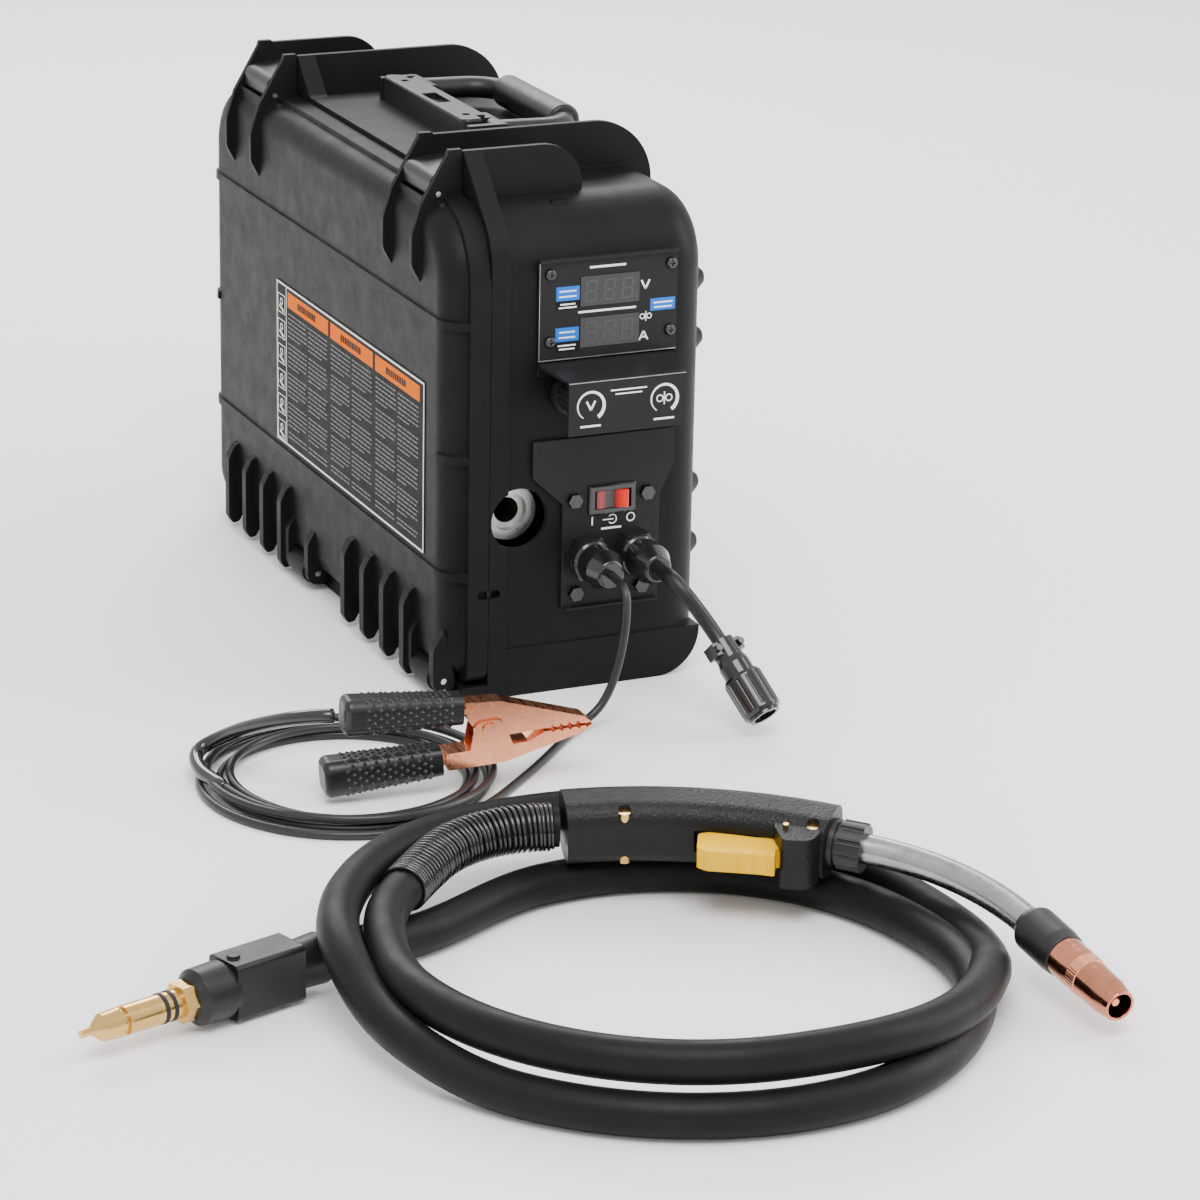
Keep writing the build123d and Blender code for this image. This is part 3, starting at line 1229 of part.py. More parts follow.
with BuildPart() as neck_nut:
    turned(FRONT, [(0.2, 0), (0.2, 13), (3, 13), (3, 11), (5, 11), (5, 13.4), (18, 13.4), (18, 0)], 0)
    for groove in range(10):
        angle = 2 * math.pi * groove / 10
        with BuildSketch(cross_plane(FRONT, 5, 13.8 * math.cos(angle), 13.8 * math.sin(angle))):
            Circle(1.8)
        extrude(amount=14, mode=Mode.SUBTRACT)
keep("neck_nut", neck_nut)

with BuildPart() as neck_tube:
    with BuildLine() as neck_line:
        TangentArc(neck_from, neck_to, tangent=FRONT.x_dir)
    with BuildSketch(Plane(origin=neck_from, z_dir=FRONT.x_dir)):
        Circle(8)
    sweep(path=neck_line.line)
keep("neck_tube", neck_tube)

with BuildPart() as neck_insulator:
    turned(HEAD, [(0, 0), (0, 9.4), (5, 12.4), (27, 12.4), (34, 11.6), (34, 0)], [0, 1, 3, 3, 1, 0])
keep("neck_insulator", neck_insulator)

with BuildPart() as gun_nozzle:
    turned(
        HEAD,
        [(34, 8.6), (34, 11), (46, 11), (48, 10.6), (74, 10), (84, 8.2), (84, 6.6), (72, 8), (46, 8.6)],
        [0, 0.5, 0.5, 0.5, 6, 0.5, 0.5, 4, 0],
    )
keep("gun_nozzle", gun_nozzle)

with BuildPart() as contact_tip:
    turned(HEAD, [(34, 0), (34, 7.4), (52, 7.4), (56, 4), (78, 3.2), (80, 2), (80, 0)], 0)
keep("contact_tip", contact_tip)

# hose: guard spring, two free stretches and the coil between them
SPRING_END = Vector(-231, -524, 35.0)
with BuildPart() as hose_spring:
    with BuildLine() as spring_line:
        TangentArc(on_gun(0, 0), SPRING_END, tangent=-(spine.line % 0))
    with BuildSketch(Plane(origin=on_gun(0, 0), z_dir=-(spine.line % 0))):
        Circle(12.8)
    sweep(path=spring_line.line)
keep("hose_spring", hose_spring)

pin_x = Vector(*PIN_HEADING).normalized()
PIN = Plane(origin=PIN_TIP, x_dir=pin_x, z_dir=(0, 0, 1))
HOSE_FROM = 145.0
HOSE_INTO = 190.0

with BuildPart() as gun_hose:
    with BuildSketch(cross_plane(PIN, HOSE_FROM)):
        Circle(HOSE_DIAMETER / 2)
    extrude(amount=HOSE_INTO - HOSE_FROM)
    with BuildLine() as line:
        cord_line(((-279.7, -650, 33.2), (-279.2, -592, 33.2), SPRING_END))
    with BuildSketch(Plane.XZ.offset(650)):
        with Locations((-279.7, 33.2)):
            Circle(HOSE_DIAMETER / 2)
    sweep(path=line.line)
keep("gun_hose", gun_hose)

with BuildPart() as gun_coil:
    with BuildSketch(Plane.XY):
        with Locations(COIL_CENTRE):
            Circle(COIL_OUTER)
            Circle(COIL_INNER, mode=Mode.SUBTRACT)
    extrude(amount=HOSE_DIAMETER)
    # the upper turn lies on the front half
    with BuildSketch(Plane.XY.offset(HOSE_DIAMETER)):
        with Locations(COIL_CENTRE):
            Circle(160)
            Circle(138, mode=Mode.SUBTRACT)
        with Locations((COIL_CENTRE[0], -450)):
            Rectangle(500, 400, mode=Mode.SUBTRACT)
    extrude(amount=HOSE_DIAMETER)
    # and crosses over the entry of the hose at the back
    with BuildSketch(Plane.XY.offset(HOSE_DIAMETER)):
        with Locations(COIL_CENTRE):
            Circle(185)
            Circle(163, mode=Mode.SUBTRACT)
            Rectangle(400, 200, align=(Align.CENTER, Align.MAX), mode=Mode.SUBTRACT)
            Rectangle(200, 118, align=(Align.MIN, Align.MIN), mode=Mode.SUBTRACT)
    extrude(amount=28)
    with BuildSketch(cross_plane(PIN, 110, 0, 0)):
        Rectangle(32, 2 * 14.5)
        with Locations((0, -12)):
            Rectangle(32, 20)
    extrude(amount=HOSE_INTO - 110, mode=Mode.SUBTRACT)
keep("gun_coil", gun_coil)

# ---------------------------------------------------------- power-pin end of hose
with BuildPart() as rear_housing:
    turned(PIN, [(64, 0), (64, 11), (68, 14.5), (84, 15), (84, 13.4), (88, 13.4), (88, 0)], 0)
    with BuildSketch(cross_plane(PIN, 86)):
        RectangleRounded(24, 30, 3)
    extrude(amount=42)
    turned(PIN, [(126, 0), (126, 12.5), (HOSE_FROM, 13.5), (HOSE_FROM, 0)], 0)
    for side in (-1, 1):
        with Locations(PIN.from_local_coords(Vector(92, 0, side * 15.7))):
            Cylinder(3.4, 1.6)
keep("rear_housing", rear_housing)

with BuildPart() as power_pin:
    turned(
        PIN,
        [(0, 0), (0, 2), (6, 2.2), (12, 7), (22, PIN_RADIUS), (22, 6.2), (25, 6.2), (25, PIN_RADIUS),
         (46, PIN_RADIUS), (46, 5.9), (48.2, 5.9), (48.2, PIN_RADIUS), (51, PIN_RADIUS), (51, 5.9),
         (53.2, 5.9), (53.2, PIN_RADIUS), (57, PIN_RADIUS), (57, 0)],
        0,
    )
    with BuildSketch(cross_plane(PIN, 57)):
        RegularPolygon(10.8, 6)
    extrude(amount=7)
keep("power_pin", power_pin)

with BuildPart() as pin_o_rings:
    for groove_x in (46, 51):
        turned(PIN, [(groove_x, 5.9), (groove_x, 7.9), (groove_x + 2.2, 7.9), (groove_x + 2.2, 5.9)], 0)
keep("pin_o_rings", pin_o_rings)

for label, piece in pieces.items():
    print(label, piece.is_valid, len(piece.solids()), round(piece.volume))
    export_step(piece, f"parts/{label}.step")
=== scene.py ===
"""Looks for the suitcase wire feeder: finishes on the CAD nodes, printed marks,
the coiled cords, and the camera and light of the reference view.  Metres."""

import json
import math
import random

import bmesh
import bpy
from mathutils import Matrix, Vector
from mathutils.bvhtree import BVHTree


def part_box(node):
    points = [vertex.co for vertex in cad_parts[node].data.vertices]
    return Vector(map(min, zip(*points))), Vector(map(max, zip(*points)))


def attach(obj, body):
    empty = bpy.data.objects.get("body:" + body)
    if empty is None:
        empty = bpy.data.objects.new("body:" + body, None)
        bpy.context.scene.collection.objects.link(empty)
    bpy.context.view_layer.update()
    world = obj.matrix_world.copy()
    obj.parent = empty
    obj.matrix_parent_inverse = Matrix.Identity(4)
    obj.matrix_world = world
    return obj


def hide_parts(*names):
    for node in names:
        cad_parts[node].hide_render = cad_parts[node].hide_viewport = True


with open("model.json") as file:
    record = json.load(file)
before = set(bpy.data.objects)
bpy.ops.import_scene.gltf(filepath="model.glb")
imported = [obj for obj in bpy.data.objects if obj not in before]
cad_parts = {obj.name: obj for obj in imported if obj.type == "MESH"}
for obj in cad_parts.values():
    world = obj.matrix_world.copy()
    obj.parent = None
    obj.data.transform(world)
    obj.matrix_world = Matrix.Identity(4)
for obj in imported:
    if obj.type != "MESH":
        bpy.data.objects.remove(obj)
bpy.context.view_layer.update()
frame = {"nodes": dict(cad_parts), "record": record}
NODES = frame["nodes"]
MM = 0.001
DICE = random.Random(7)
SQUARE = ((-1, -1), (1, -1), (1, 1), (-1, 1))
DIAMOND = ((1, 0), (0, 1), (-1, 0), (0, -1))


def mm(*values):
    """A point or size given in millimetres."""
    return Vector(values) * MM


# ------------------------------------------------------------------ materials
MATERIALS = {}


def new_material(name):
    """An empty node material, kept by name; returns its tree, shader and object coordinates."""
    made = bpy.data.materials.new(name)
    MATERIALS[name] = made
    made.use_nodes = True
    tree = made.node_tree
    shader = tree.nodes["Principled BSDF"]
    where = tree.nodes.new("ShaderNodeTexCoord").outputs["Object"]
    return tree, shader, where


def noise(tree, where, scale, detail=4.0, rough=0.55):
    """The value output of a noise texture in object space; scale is per metre."""
    node = tree.nodes.new("ShaderNodeTexNoise")
    node.inputs["Scale"].default_value = scale
    node.inputs["Detail"].default_value = detail
    node.inputs["Roughness"].default_value = rough
    tree.links.new(where, node.inputs["Vector"])
    return node.outputs["Fac"]


NOISE_LOW = 0.3
NOISE_HIGH = 0.7


def spread(tree, value, low, high):
    """Stretches the middle of a noise value's range to low..high."""
    node = tree.nodes.new("ShaderNodeMapRange")
    node.inputs["From Min"].default_value = NOISE_LOW
    node.inputs["From Max"].default_value = NOISE_HIGH
    node.inputs["To Min"].default_value = low
    node.inputs["To Max"].default_value = high
    tree.links.new(value, node.inputs["Value"])
    return node.outputs["Result"]


def tint(tree, shader, value, dark, light):
    """Blends the base colour between two colours by a value."""
    node = tree.nodes.new("ShaderNodeMix")
    node.data_type = "RGBA"
    node.inputs["A"].default_value = (*dark, 1)
    node.inputs["B"].default_value = (*light, 1)
    tree.links.new(value, node.inputs["Factor"])
    tree.links.new(node.outputs["Result"], shader.inputs["Base Color"])


def bump(tree, shader, value, height, strength=0.5):
    """Adds relief of a height in millimetres; returns its node."""
    node = tree.nodes.new("ShaderNodeBump")
    node.inputs["Strength"].default_value = strength
    node.inputs["Distance"].default_value = height * MM
    tree.links.new(value, node.inputs["Height"])
    tree.links.new(node.outputs["Normal"], shader.inputs["Normal"])
    return node


PATCH_SCALE = 14.0
SCUFF_SCALE = 60.0
TARNISH_SCALE = 45.0
COAT_ROUGHNESS = 0.12


def plastic(
    name, colour, rough, grain=900.0, relief=0.05, contrast=0.35, coat=0.0, gleam=0.35, edge=0.0,
):
    """Moulded plastic or rubber: fine grain, slow patches of sheen and colour, soft edges."""
    tree, shader, where = new_material(name)
    shader.inputs["Specular IOR Level"].default_value = gleam
    patches = noise(tree, where, PATCH_SCALE, 5.0)
    dark = tuple(c * (1 - contrast) for c in colour)
    light = tuple(c * (1 + contrast) for c in colour)
    tint(tree, shader, spread(tree, patches, 0, 1), dark, light)
    scuffs = noise(tree, where, SCUFF_SCALE, 8.0, 0.7)
    tree.links.new(spread(tree, scuffs, rough - 0.06, rough + 0.08), shader.inputs["Roughness"])
    rough_face = bump(tree, shader, noise(tree, where, grain, 3.0), relief)
    if edge:
        soft_edge = tree.nodes.new("ShaderNodeBevel")
        soft_edge.samples = 4
        soft_edge.inputs["Radius"].default_value = edge * MM
        tree.links.new(soft_edge.outputs["Normal"], rough_face.inputs["Normal"])
    shader.inputs["Coat Weight"].default_value = coat
    shader.inputs["Coat Roughness"].default_value = COAT_ROUGHNESS


def metal(name, colour, rough, stretch=(1, 1, 1), grain=700.0, relief=0.02, worn=0.15):
    """Metal with a directional or even grain and slight tarnish."""
    tree, shader, where = new_material(name)
    shader.inputs["Metallic"].default_value = 1.0
    scaled = tree.nodes.new("ShaderNodeMapping")
    scaled.inputs["Scale"].default_value = stretch
    tree.links.new(where, scaled.inputs["Vector"])
    lines = noise(tree, scaled.outputs["Vector"], grain, 4.0, 0.6)
    tarnish = noise(tree, where, TARNISH_SCALE, 6.0, 0.65)
    dark = tuple(c * (1 - worn) for c in colour)
    tint(tree, shader, spread(tree, tarnish, 0, 1), dark, colour)
    tree.links.new(spread(tree, lines, rough - 0.07, rough + 0.1), shader.inputs["Roughness"])
    bump(tree, shader, lines, relief)


CASE_BLACK = (0.0065, 0.0067, 0.0070)
for shell in ("case_plastic", "door_plastic"):
    plastic(shell, CASE_BLACK, 0.44, 1400, contrast=0.2, gleam=0.10, edge=0.9)
plastic("seal_rubber", (0.008, 0.008, 0.008), 0.6, relief=0.03)
metal("pin_steel", (0.62, 0.61, 0.59), 0.28, (1, 0.05, 1))
plastic("panel_paint", (0.0125, 0.0125, 0.013), 0.38, 2600, 0.03, 0.12, gleam=0.13, edge=0.5)
plastic("window", (0.014, 0.014, 0.0145), 0.2, 300, 0.004, 0.2, coat=0.2)
metal("dark_screw", (0.07, 0.07, 0.07), 0.30, grain=900)
plastic("label_film", (0.010, 0.010, 0.0105), 0.50, 500, 0.01, 0.15, gleam=0.06)
plastic("gloss_black", (0.010, 0.010, 0.010), 0.16, 260, 0.02, 0.3, coat=0.5)
plastic("knob_plastic", (0.016, 0.016, 0.016), 0.38, 1200, 0.04)
plastic("rocker_red", (0.62, 0.035, 0.018), 0.24, 500, 0.01, 0.2, coat=0.4)
metal("cast_metal", (0.50, 0.50, 0.49), 0.34, grain=420, relief=0.2, worn=0.35)
plastic("handle_plastic", (0.008, 0.008, 0.0085), 0.38, 1100, contrast=0.3, edge=0.7)
metal("zinc_steel", (0.60, 0.60, 0.57), 0.34, grain=240)
plastic("motor_paint", (0.03, 0.03, 0.034), 0.45)
plastic("spool_plastic", (0.05, 0.05, 0.055), 0.42, relief=0.04)
metal("welding_wire", (0.74, 0.45, 0.30), 0.26, (60, 1, 1), 25, 0.35)
metal("gear_steel", (0.50, 0.50, 0.49), 0.30, (0.1, 1, 1))
metal("brass", (0.74, 0.47, 0.16), 0.2, grain=500, worn=0.2)
plastic("board", (0.015, 0.10, 0.045), 0.3, 500, 0.08)
plastic("lead_rubber", (0.014, 0.014, 0.015), 0.34, 700)
metal("copper", (0.90, 0.37, 0.21), 0.24, (1, 0.1, 1), 300, 0.03, 0.14)
plastic("grip_rubber", (0.007, 0.007, 0.007), 0.34, contrast=0.3, gleam=0.45, edge=0.5)
plastic("cord_rubber", (0.007, 0.007, 0.007), 0.4)
plastic("connector_black", (0.008, 0.008, 0.008), 0.18, 300, 0.02, 0.3, coat=0.4)
plastic("gun_plastic", (0.007, 0.007, 0.007), 0.34, 620, 1.3, 0.3, gleam=0.2, edge=0.8)
plastic("trigger_yellow", (0.86, 0.47, 0.0), 0.38, 800, 0.03, 0.06, gleam=0.15, edge=0.6)
metal("neck_metal", (0.36, 0.37, 0.38), 0.27, grain=160, relief=0.004)
plastic("insulator", (0.010, 0.010, 0.010), 0.4, relief=0.03)
metal("nozzle_copper", (0.70, 0.27, 0.16), 0.15, grain=400, relief=0.01, worn=0.35)
plastic("hose_rubber", (0.0075, 0.0075, 0.0078), 0.46, 420, 0.08, 0.25, gleam=0.12)
plastic("white_ink", (0.80, 0.80, 0.78), 0.6, 800, 0.005, 0.06, gleam=0.1)
plastic("grey_ink", (0.20, 0.20, 0.20), 0.6, 800, 0.005, 0.08, gleam=0.06)
plastic("orange_ink", (0.74, 0.15, 0.002), 0.6, 800, 0.005, 0.06, gleam=0.04)
plastic("blue_film", (0.010, 0.13, 0.56), 0.5, 800, 0.01, 0.1, gleam=0.08)
plastic("digit_grey", (0.060, 0.060, 0.061), 0.5, 800, 0.005, 0.1, gleam=0.1)
# painted edge highlight: a pale grey metal for thin bright lines painted where edges catch the light
metal("painted_edge_highlight", (0.42, 0.42, 0.41), 0.4, grain=900, relief=0.01, worn=0.6)

# painted light and shade across the red rocker: dim red at the left, a shaded black middle, bright red at
# the right where the light falls
ROCKER_LIGHT_AND_SHADE_STOPS = (
    # share of the width from the left, colour
    (0.0, (0.05, 0.006, 0.005)), (0.16, (0.30, 0.012, 0.010)), (0.34, (0.020, 0.007, 0.007)),
    (0.56, (0.016, 0.007, 0.007)), (0.68, (0.42, 0.016, 0.012)), (0.86, (0.75, 0.022, 0.012)),
    (1.0, (0.85, 0.03, 0.012)),
)


def paint_rocker_light_and_shade(made, low_x, high_x):
    """The rocker's red with painted light and shade: painted shade makes it near black in the middle and
    dim red at its left, a painted highlight makes it bright red at its right.
    """
    tree = made.node_tree
    shader = tree.nodes["Principled BSDF"]
    where = tree.nodes.new("ShaderNodeTexCoord").outputs["Object"]
    split = tree.nodes.new("ShaderNodeSeparateXYZ")
    tree.links.new(where, split.inputs["Vector"])
    across = tree.nodes.new("ShaderNodeMapRange")
    across.inputs["From Min"].default_value = low_x
    across.inputs["From Max"].default_value = high_x
    tree.links.new(split.outputs["X"], across.inputs["Value"])
    ramp = tree.nodes.new("ShaderNodeValToRGB")
    ends = ramp.color_ramp.elements
    for end, (position, colour) in zip(ends, (ROCKER_LIGHT_AND_SHADE_STOPS[0], ROCKER_LIGHT_AND_SHADE_STOPS[-1])):
        end.position = position
        end.color = (*colour, 1)
    for position, colour in ROCKER_LIGHT_AND_SHADE_STOPS[1:-1]:
        ends.new(position).color = (*colour, 1)
    tree.links.new(across.outputs["Result"], ramp.inputs["Fac"])
    tree.links.new(ramp.outputs["Color"], shader.inputs["Base Color"])


# the painted light and shade runs across the rocker's width
rocker_low, rocker_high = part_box("power_rocker")
paint_rocker_light_and_shade(MATERIALS["rocker_red"], rocker_low[0], rocker_high[0])
for entry in frame["record"]["subparts"]:
    node = NODES[entry["node"]]
    for place in node.material_slots:
        place.material = MATERIALS[entry["material_slot"]]


# ------------------------------------------------------------------ piece makers
def mesh_from(name, build):
    """Turns finished bmesh faces outwards and hands them over as a mesh."""
    bmesh.ops.recalc_face_normals(build, faces=build.faces)
    mesh = bpy.data.meshes.new(name)
    build.to_mesh(mesh)
    build.free()
    return mesh


def finish_piece(name, mesh, material, body):
    """Makes a piece from a mesh, paints it and lets it ride on a body."""
    piece = bpy.data.objects.new(name, mesh)
    bpy.context.scene.collection.objects.link(piece)
    mesh.materials.append(MATERIALS[material])
    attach(piece, body)
    return piece


INK_BOTTOM = 0.02
INK_TOP = 0.12


def printed(name, shapes, material, body, place):
    """Thin printed shapes: each is a list of 2-D corners, placed by a function."""
    build = bmesh.new()
    for corners in shapes:
        low = [build.verts.new(place(a, b, INK_BOTTOM)) for a, b in corners]
        high = [build.verts.new(place(a, b, INK_TOP)) for a, b in corners]
        build.faces.new(high)
        build.faces.new(low[::-1])
        for i in range(len(corners)):
            j = (i + 1) % len(corners)
            build.faces.new((low[i], low[j], high[j], high[i]))
    return finish_piece(name, mesh_from(name, build), material, body)


def bar(left, right, low, high):
    """The corners of an upright rectangle."""
    return [(left, low), (right, low), (right, high), (left, high)]


def border(left, right, low, high, wide):
    """Four bars along the inside of a rectangle."""
    return [
        bar(left, right, high - wide, high), bar(left, right, low, low + wide),
        bar(left, left + wide, low + wide, high - wide), bar(right - wide, right, low + wide, high - wide),
    ]


def arc(centre, radius, start, end, wide, taper=1.0, steps=26):
    """A printed arc as short quads; its width may grow along it."""
    quads = []
    for i in range(steps):
        angles = [math.radians(start + (end - start) * (i + k) / steps) for k in (0, 1)]
        half = [wide * (1 + (taper - 1) * (i + k) / steps) / 2 for k in (0, 1)]
        ring = [(radius - half[0], 0), (radius + half[0], 0),
                (radius + half[1], 1), (radius - half[1], 1)]
        quads.append([
            (centre[0] + r * math.cos(angles[k]), centre[1] + r * math.sin(angles[k])) for r, k in ring
        ])
    return quads


def stroke(a, b, wide):
    """A straight printed line between two points."""
    run = Vector((b[0] - a[0], b[1] - a[1]))
    side = Vector((-run.y, run.x)).normalized() * wide / 2
    return [
        (a[0] + side.x, a[1] + side.y), (a[0] - side.x, a[1] - side.y),
        (b[0] - side.x, b[1] - side.y), (b[0] + side.x, b[1] + side.y),
    ]


def front_place(face_y):
    """Places a print on a face that looks to the front."""
    return lambda x, z, out: mm(x, face_y - out, z)


def side_place(face_x):
    """Places a print on a face that looks to the door's side."""
    return lambda y, z, out: mm(face_x - out, y, z)


def cord_curve(name, points, diameter, material, body):
    """A cord as one NURBS spline with its route's points, in millimetres, as control points."""
    curve = bpy.data.curves.new(name, "CURVE")
    curve.dimensions = "3D"
    curve.bevel_depth = diameter * MM / 2
    curve.bevel_resolution = 5
    curve.resolution_u = 8
    curve.use_fill_caps = True
    spline = curve.splines.new("NURBS")
    spline.points.add(len(points) - 1)
    for control, point in zip(spline.points, points):
        control.co = (*mm(*point), 1)
    spline.order_u = 3
    spline.use_endpoint_u = True
    curve.materials.append(MATERIALS[material])
    piece = bpy.data.objects.new(name, curve)
    bpy.context.scene.collection.objects.link(piece)
    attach(piece, body)
    return piece


def turns(centre, start, end, steps, radius_at, height_at):
    """Control points of a coil, from one angle to another in degrees."""
    points = []
    for i in range(steps + 1):
        part = i / steps
        angle = math.radians(start + (end - start) * part)
        radius = radius_at(part)
        points.append((
            centre[0] + radius * math.cos(angle), centre[1] + radius * math.sin(angle), height_at(part),
        ))
    return points


def along(keys):
    """A function that runs smoothly through (part, value) keys."""
    def value(part):
        for (a, low), (b, high) in zip(keys, keys[1:]):
            if part <= b:
                t = (part - a) / (b - a)
                return low + (high - low) * t * t * (3 - 2 * t)
        return keys[-1][1]
    return value


# ------------------------------------------------------------------ camera
CAMERA_PLACE = (-1.0014, -2.4394, 0.9073)
LENS = 130.4
YAW = math.radians(24.48)
PITCH = math.radians(19.18)
ROLL = math.radians(1.18)
forward = Vector((
    math.sin(YAW) * math.cos(PITCH), math.cos(YAW) * math.cos(PITCH), -math.sin(PITCH),
))
level = forward.cross(Vector((0, 0, 1))).normalized()
upright = level.cross(forward)
right = level * math.cos(ROLL) + upright * math.sin(ROLL)
up = upright * math.cos(ROLL) - level * math.sin(ROLL)
camera = bpy.data.objects.new("camera", bpy.data.cameras.new("camera"))
camera.data.sensor_width = 36.0
camera.data.lens = LENS
camera.data.clip_end = 50.0
camera.matrix_world = Matrix((right, up, -forward)).transposed().to_4x4()
camera.location = CAMERA_PLACE
bpy.context.scene.collection.objects.link(camera)
bpy.context.scene.camera = camera

# ------------------------------------------------------------------ cords
# sense lead: gland, floor, turns inwards on the floor and outwards on top, then the clamp
LEAD_CENTRE = (-180, -300)
LEAD_FIRST = -48.7
LEAD_LAST = 206 - 5 * 360
LEAD_STEPS = 72
LEAD_ASIDE = 3
LEAD_ASIDE_ANGLE = 40
LEAD_UNEVEN = 0.5
LEAD_UNEVEN_RATE = 41
lead_radius = along([(0, 88), (0.5, 68), (0.56, 68), (0.9, 84), (1, 76)])
lead_height = along([(0, 2.7), (0.48, 2.7), (0.56, 8.0), (1, 9.0)])


def lead_turn_radius(part):
    """The turns are a little uneven and fan out away from one side."""
    angle = LEAD_FIRST + (LEAD_LAST - LEAD_FIRST) * part - LEAD_ASIDE_ANGLE
    aside = LEAD_ASIDE * math.cos(math.radians(angle)) * min(1, 6 * part)
    return lead_radius(part) + LEAD_UNEVEN * math.sin(part * LEAD_UNEVEN_RATE) - aside


lead_points = [
    (4.5, -232, 83.5), (4.5, -254, 83.5), (4.5, -270, 80), (1, -272, 46), (-10, -273, 14),
    (-32, -278, 3.4), (-70, -318, 2.8), (-96, -343, 2.8),
]
lead_points += turns(
    LEAD_CENTRE, LEAD_FIRST, LEAD_LAST, LEAD_STEPS, lead_turn_radius, lead_height,
)
lead_points += [
    (-258, -296, 9), (-262, -276, 9.5), (-258, -256, 13), (-244, -258, 20), (-234, -281, 34),
    (-215, -318, 50.5), (-198.4, -324, 50.5),
]
sense_cord = cord_curve("sense_lead_cord", lead_points, 5.0, "lead_rubber", "feeder")
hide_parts("sense_lead", "sense_coil")

# control cord: a short droop to its round connector
CONTROL_POINTS = [(35, -230, 83.5), (35, -252, 83.5), (35, -270, 83.5), (52, -282, 58), (55, -290, 50)]
control = cord_curve("control_cable", CONTROL_POINTS, 9.2, "cord_rubber", "feeder")
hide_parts("control_cord")

# gun hose: out of the handle, through the spring, round the coil, to the power pin
HOSE_CENTRE = (-131, -634)
HOSE_STEPS = 46
HOSE_KEYS = (
    # angle, radius, height
    (172, 150, 33.2), (186, 150, 33.2), (270, 149, 33), (320, 154, 26), (350, 160, 12), (375, 161, 11.5),
    (405, 166, 22), (440, 173, 34), (492, 174, 39.5), (525, 173, 39.5), (548, 167, 20), (570, 163, 11.5),
    (630, 161, 11.2), (690, 150, 11.2), (735, 140, 11.2), (790, 137, 11.2), (826, 135, 11.2),
)
HOSE_FIRST = HOSE_KEYS[0][0]
HOSE_LAST = HOSE_KEYS[-1][0]
hose_radius = along([(angle, radius) for angle, radius, height in HOSE_KEYS])
hose_height = along([(angle, height) for angle, radius, height in HOSE_KEYS])


def hose_angle(part):
    """The angle reached after a part of the hose's coil."""
    return HOSE_FIRST + (HOSE_LAST - HOSE_FIRST) * part


hose_points = [
    (-138, -497, 41), (-160, -489, 41), (-198, -492, 38), (-231, -522, 35.5), (-262, -556, 34),
]
hose_points += turns(
    HOSE_CENTRE, HOSE_FIRST, HOSE_LAST, HOSE_STEPS,
    lambda part: hose_radius(hose_angle(part)), lambda part: hose_height(hose_angle(part)),
)
PIN_TIP = Vector((-435, -602, 17))
PIN_WAY = Vector((0.954, 0.300, 0))
PIN_APPROACH = ((222, 11.2), (196, 12.5), (172, 15.5), (150, 17), (141, 17))    # from the tip, height
for run, height in PIN_APPROACH:
    spot = PIN_TIP + PIN_WAY * run
    hose_points.append((spot.x, spot.y, height))
hose = cord_curve("gun_hose_cable", hose_points, 22.0, "hose_rubber", "gun")
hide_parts("gun_hose", "gun_coil")


# ------------------------------------------------------------------ pieces that follow the cords
def line_points(piece):
    """The smooth line of a cord, read from its own spline on a bare copy."""
    bare = bpy.data.objects.new("bare_line", piece.data.copy())
    bare.data.bevel_depth = 0
    line = bpy.data.meshes.new_from_object(bare)
    spots = [v.co.copy() for v in line.vertices]
    bpy.data.meshes.remove(line)
    bpy.data.curves.remove(bare.data)
    return spots


SMALLEST = 1e-9


def resampled(spots, begin, end, count):
    """Evenly spaced spots and headings between two distances along a line, and its length.

    A begin below 0, or an end of 0 or below, is measured back from the line's end.
    """
    gaps = [0.0]
    for a, b in zip(spots, spots[1:]):
        gaps.append(gaps[-1] + (b - a).length)
    if end <= 0:
        end = gaps[-1] + end
    if begin < 0:
        begin = gaps[-1] + begin
    found = []
    i = 0
    for k in range(count):
        want = begin + (end - begin) * k / (count - 1)
        while i < len(gaps) - 2 and gaps[i + 1] < want:
            i += 1
        share = (want - gaps[i]) / max(gaps[i + 1] - gaps[i], SMALLEST)
        found.append(spots[i].lerp(spots[i + 1], share))
    ways = [
        (found[min(k + 1, count - 1)] - found[max(k - 1, 0)]).normalized() for k in range(count)
    ]
    return found, ways, gaps[-1]


def tube_mesh(name, spots, ways, radius_at, sides=24):
    """A closed tube through spots, with a radius that varies along it."""
    build = bmesh.new()
    across = ways[0].orthogonal().normalized()
    rings = []
    for k, (spot, way) in enumerate(zip(spots, ways)):
        across = (across - way * across.dot(way)).normalized()
        other = way.cross(across)
        radius = radius_at(k / (len(spots) - 1))
        ring = []
        for s in range(sides):
            angle = 2 * math.pi * s / sides
            out = across * math.cos(angle) + other * math.sin(angle)
            ring.append(build.verts.new(spot + out * radius))
        rings.append(ring)
    for a, b in zip(rings, rings[1:]):
        for s in range(sides):
            build.faces.new((a[s], a[(s + 1) % sides], b[(s + 1) % sides], b[s]))
    build.faces.new(rings[0][::-1])
    build.faces.new(rings[-1])
    for face in build.faces:
        face.smooth = len(face.verts) == 4
    return mesh_from(name, build)


def helix_along(spots, ways, radius, pitch_at):
    """Helix points round a line; the pitch may vary along it."""
    across = ways[0].orthogonal().normalized()
    step = (spots[1] - spots[0]).length
    angle = 0.0
    points = []
    for k, (spot, way) in enumerate(zip(spots, ways)):
        across = (across - way * across.dot(way)).normalized()
        other = way.cross(across)
        points.append(spot + (across * math.cos(angle) + other * math.sin(angle)) * radius)
        angle += 2 * math.pi * step / pitch_at(k / (len(spots) - 1))
    return points


SPRING_BEGIN = 0.004
SPRING_END = 0.118
SPRING_STEPS = 1500
SPRING_RADIUS = 12.0 * MM
SPRING_STRAND = 1.15 * MM
SPRING_CLOSED = 2.45 * MM
SPRING_OPEN = 3.3 * MM


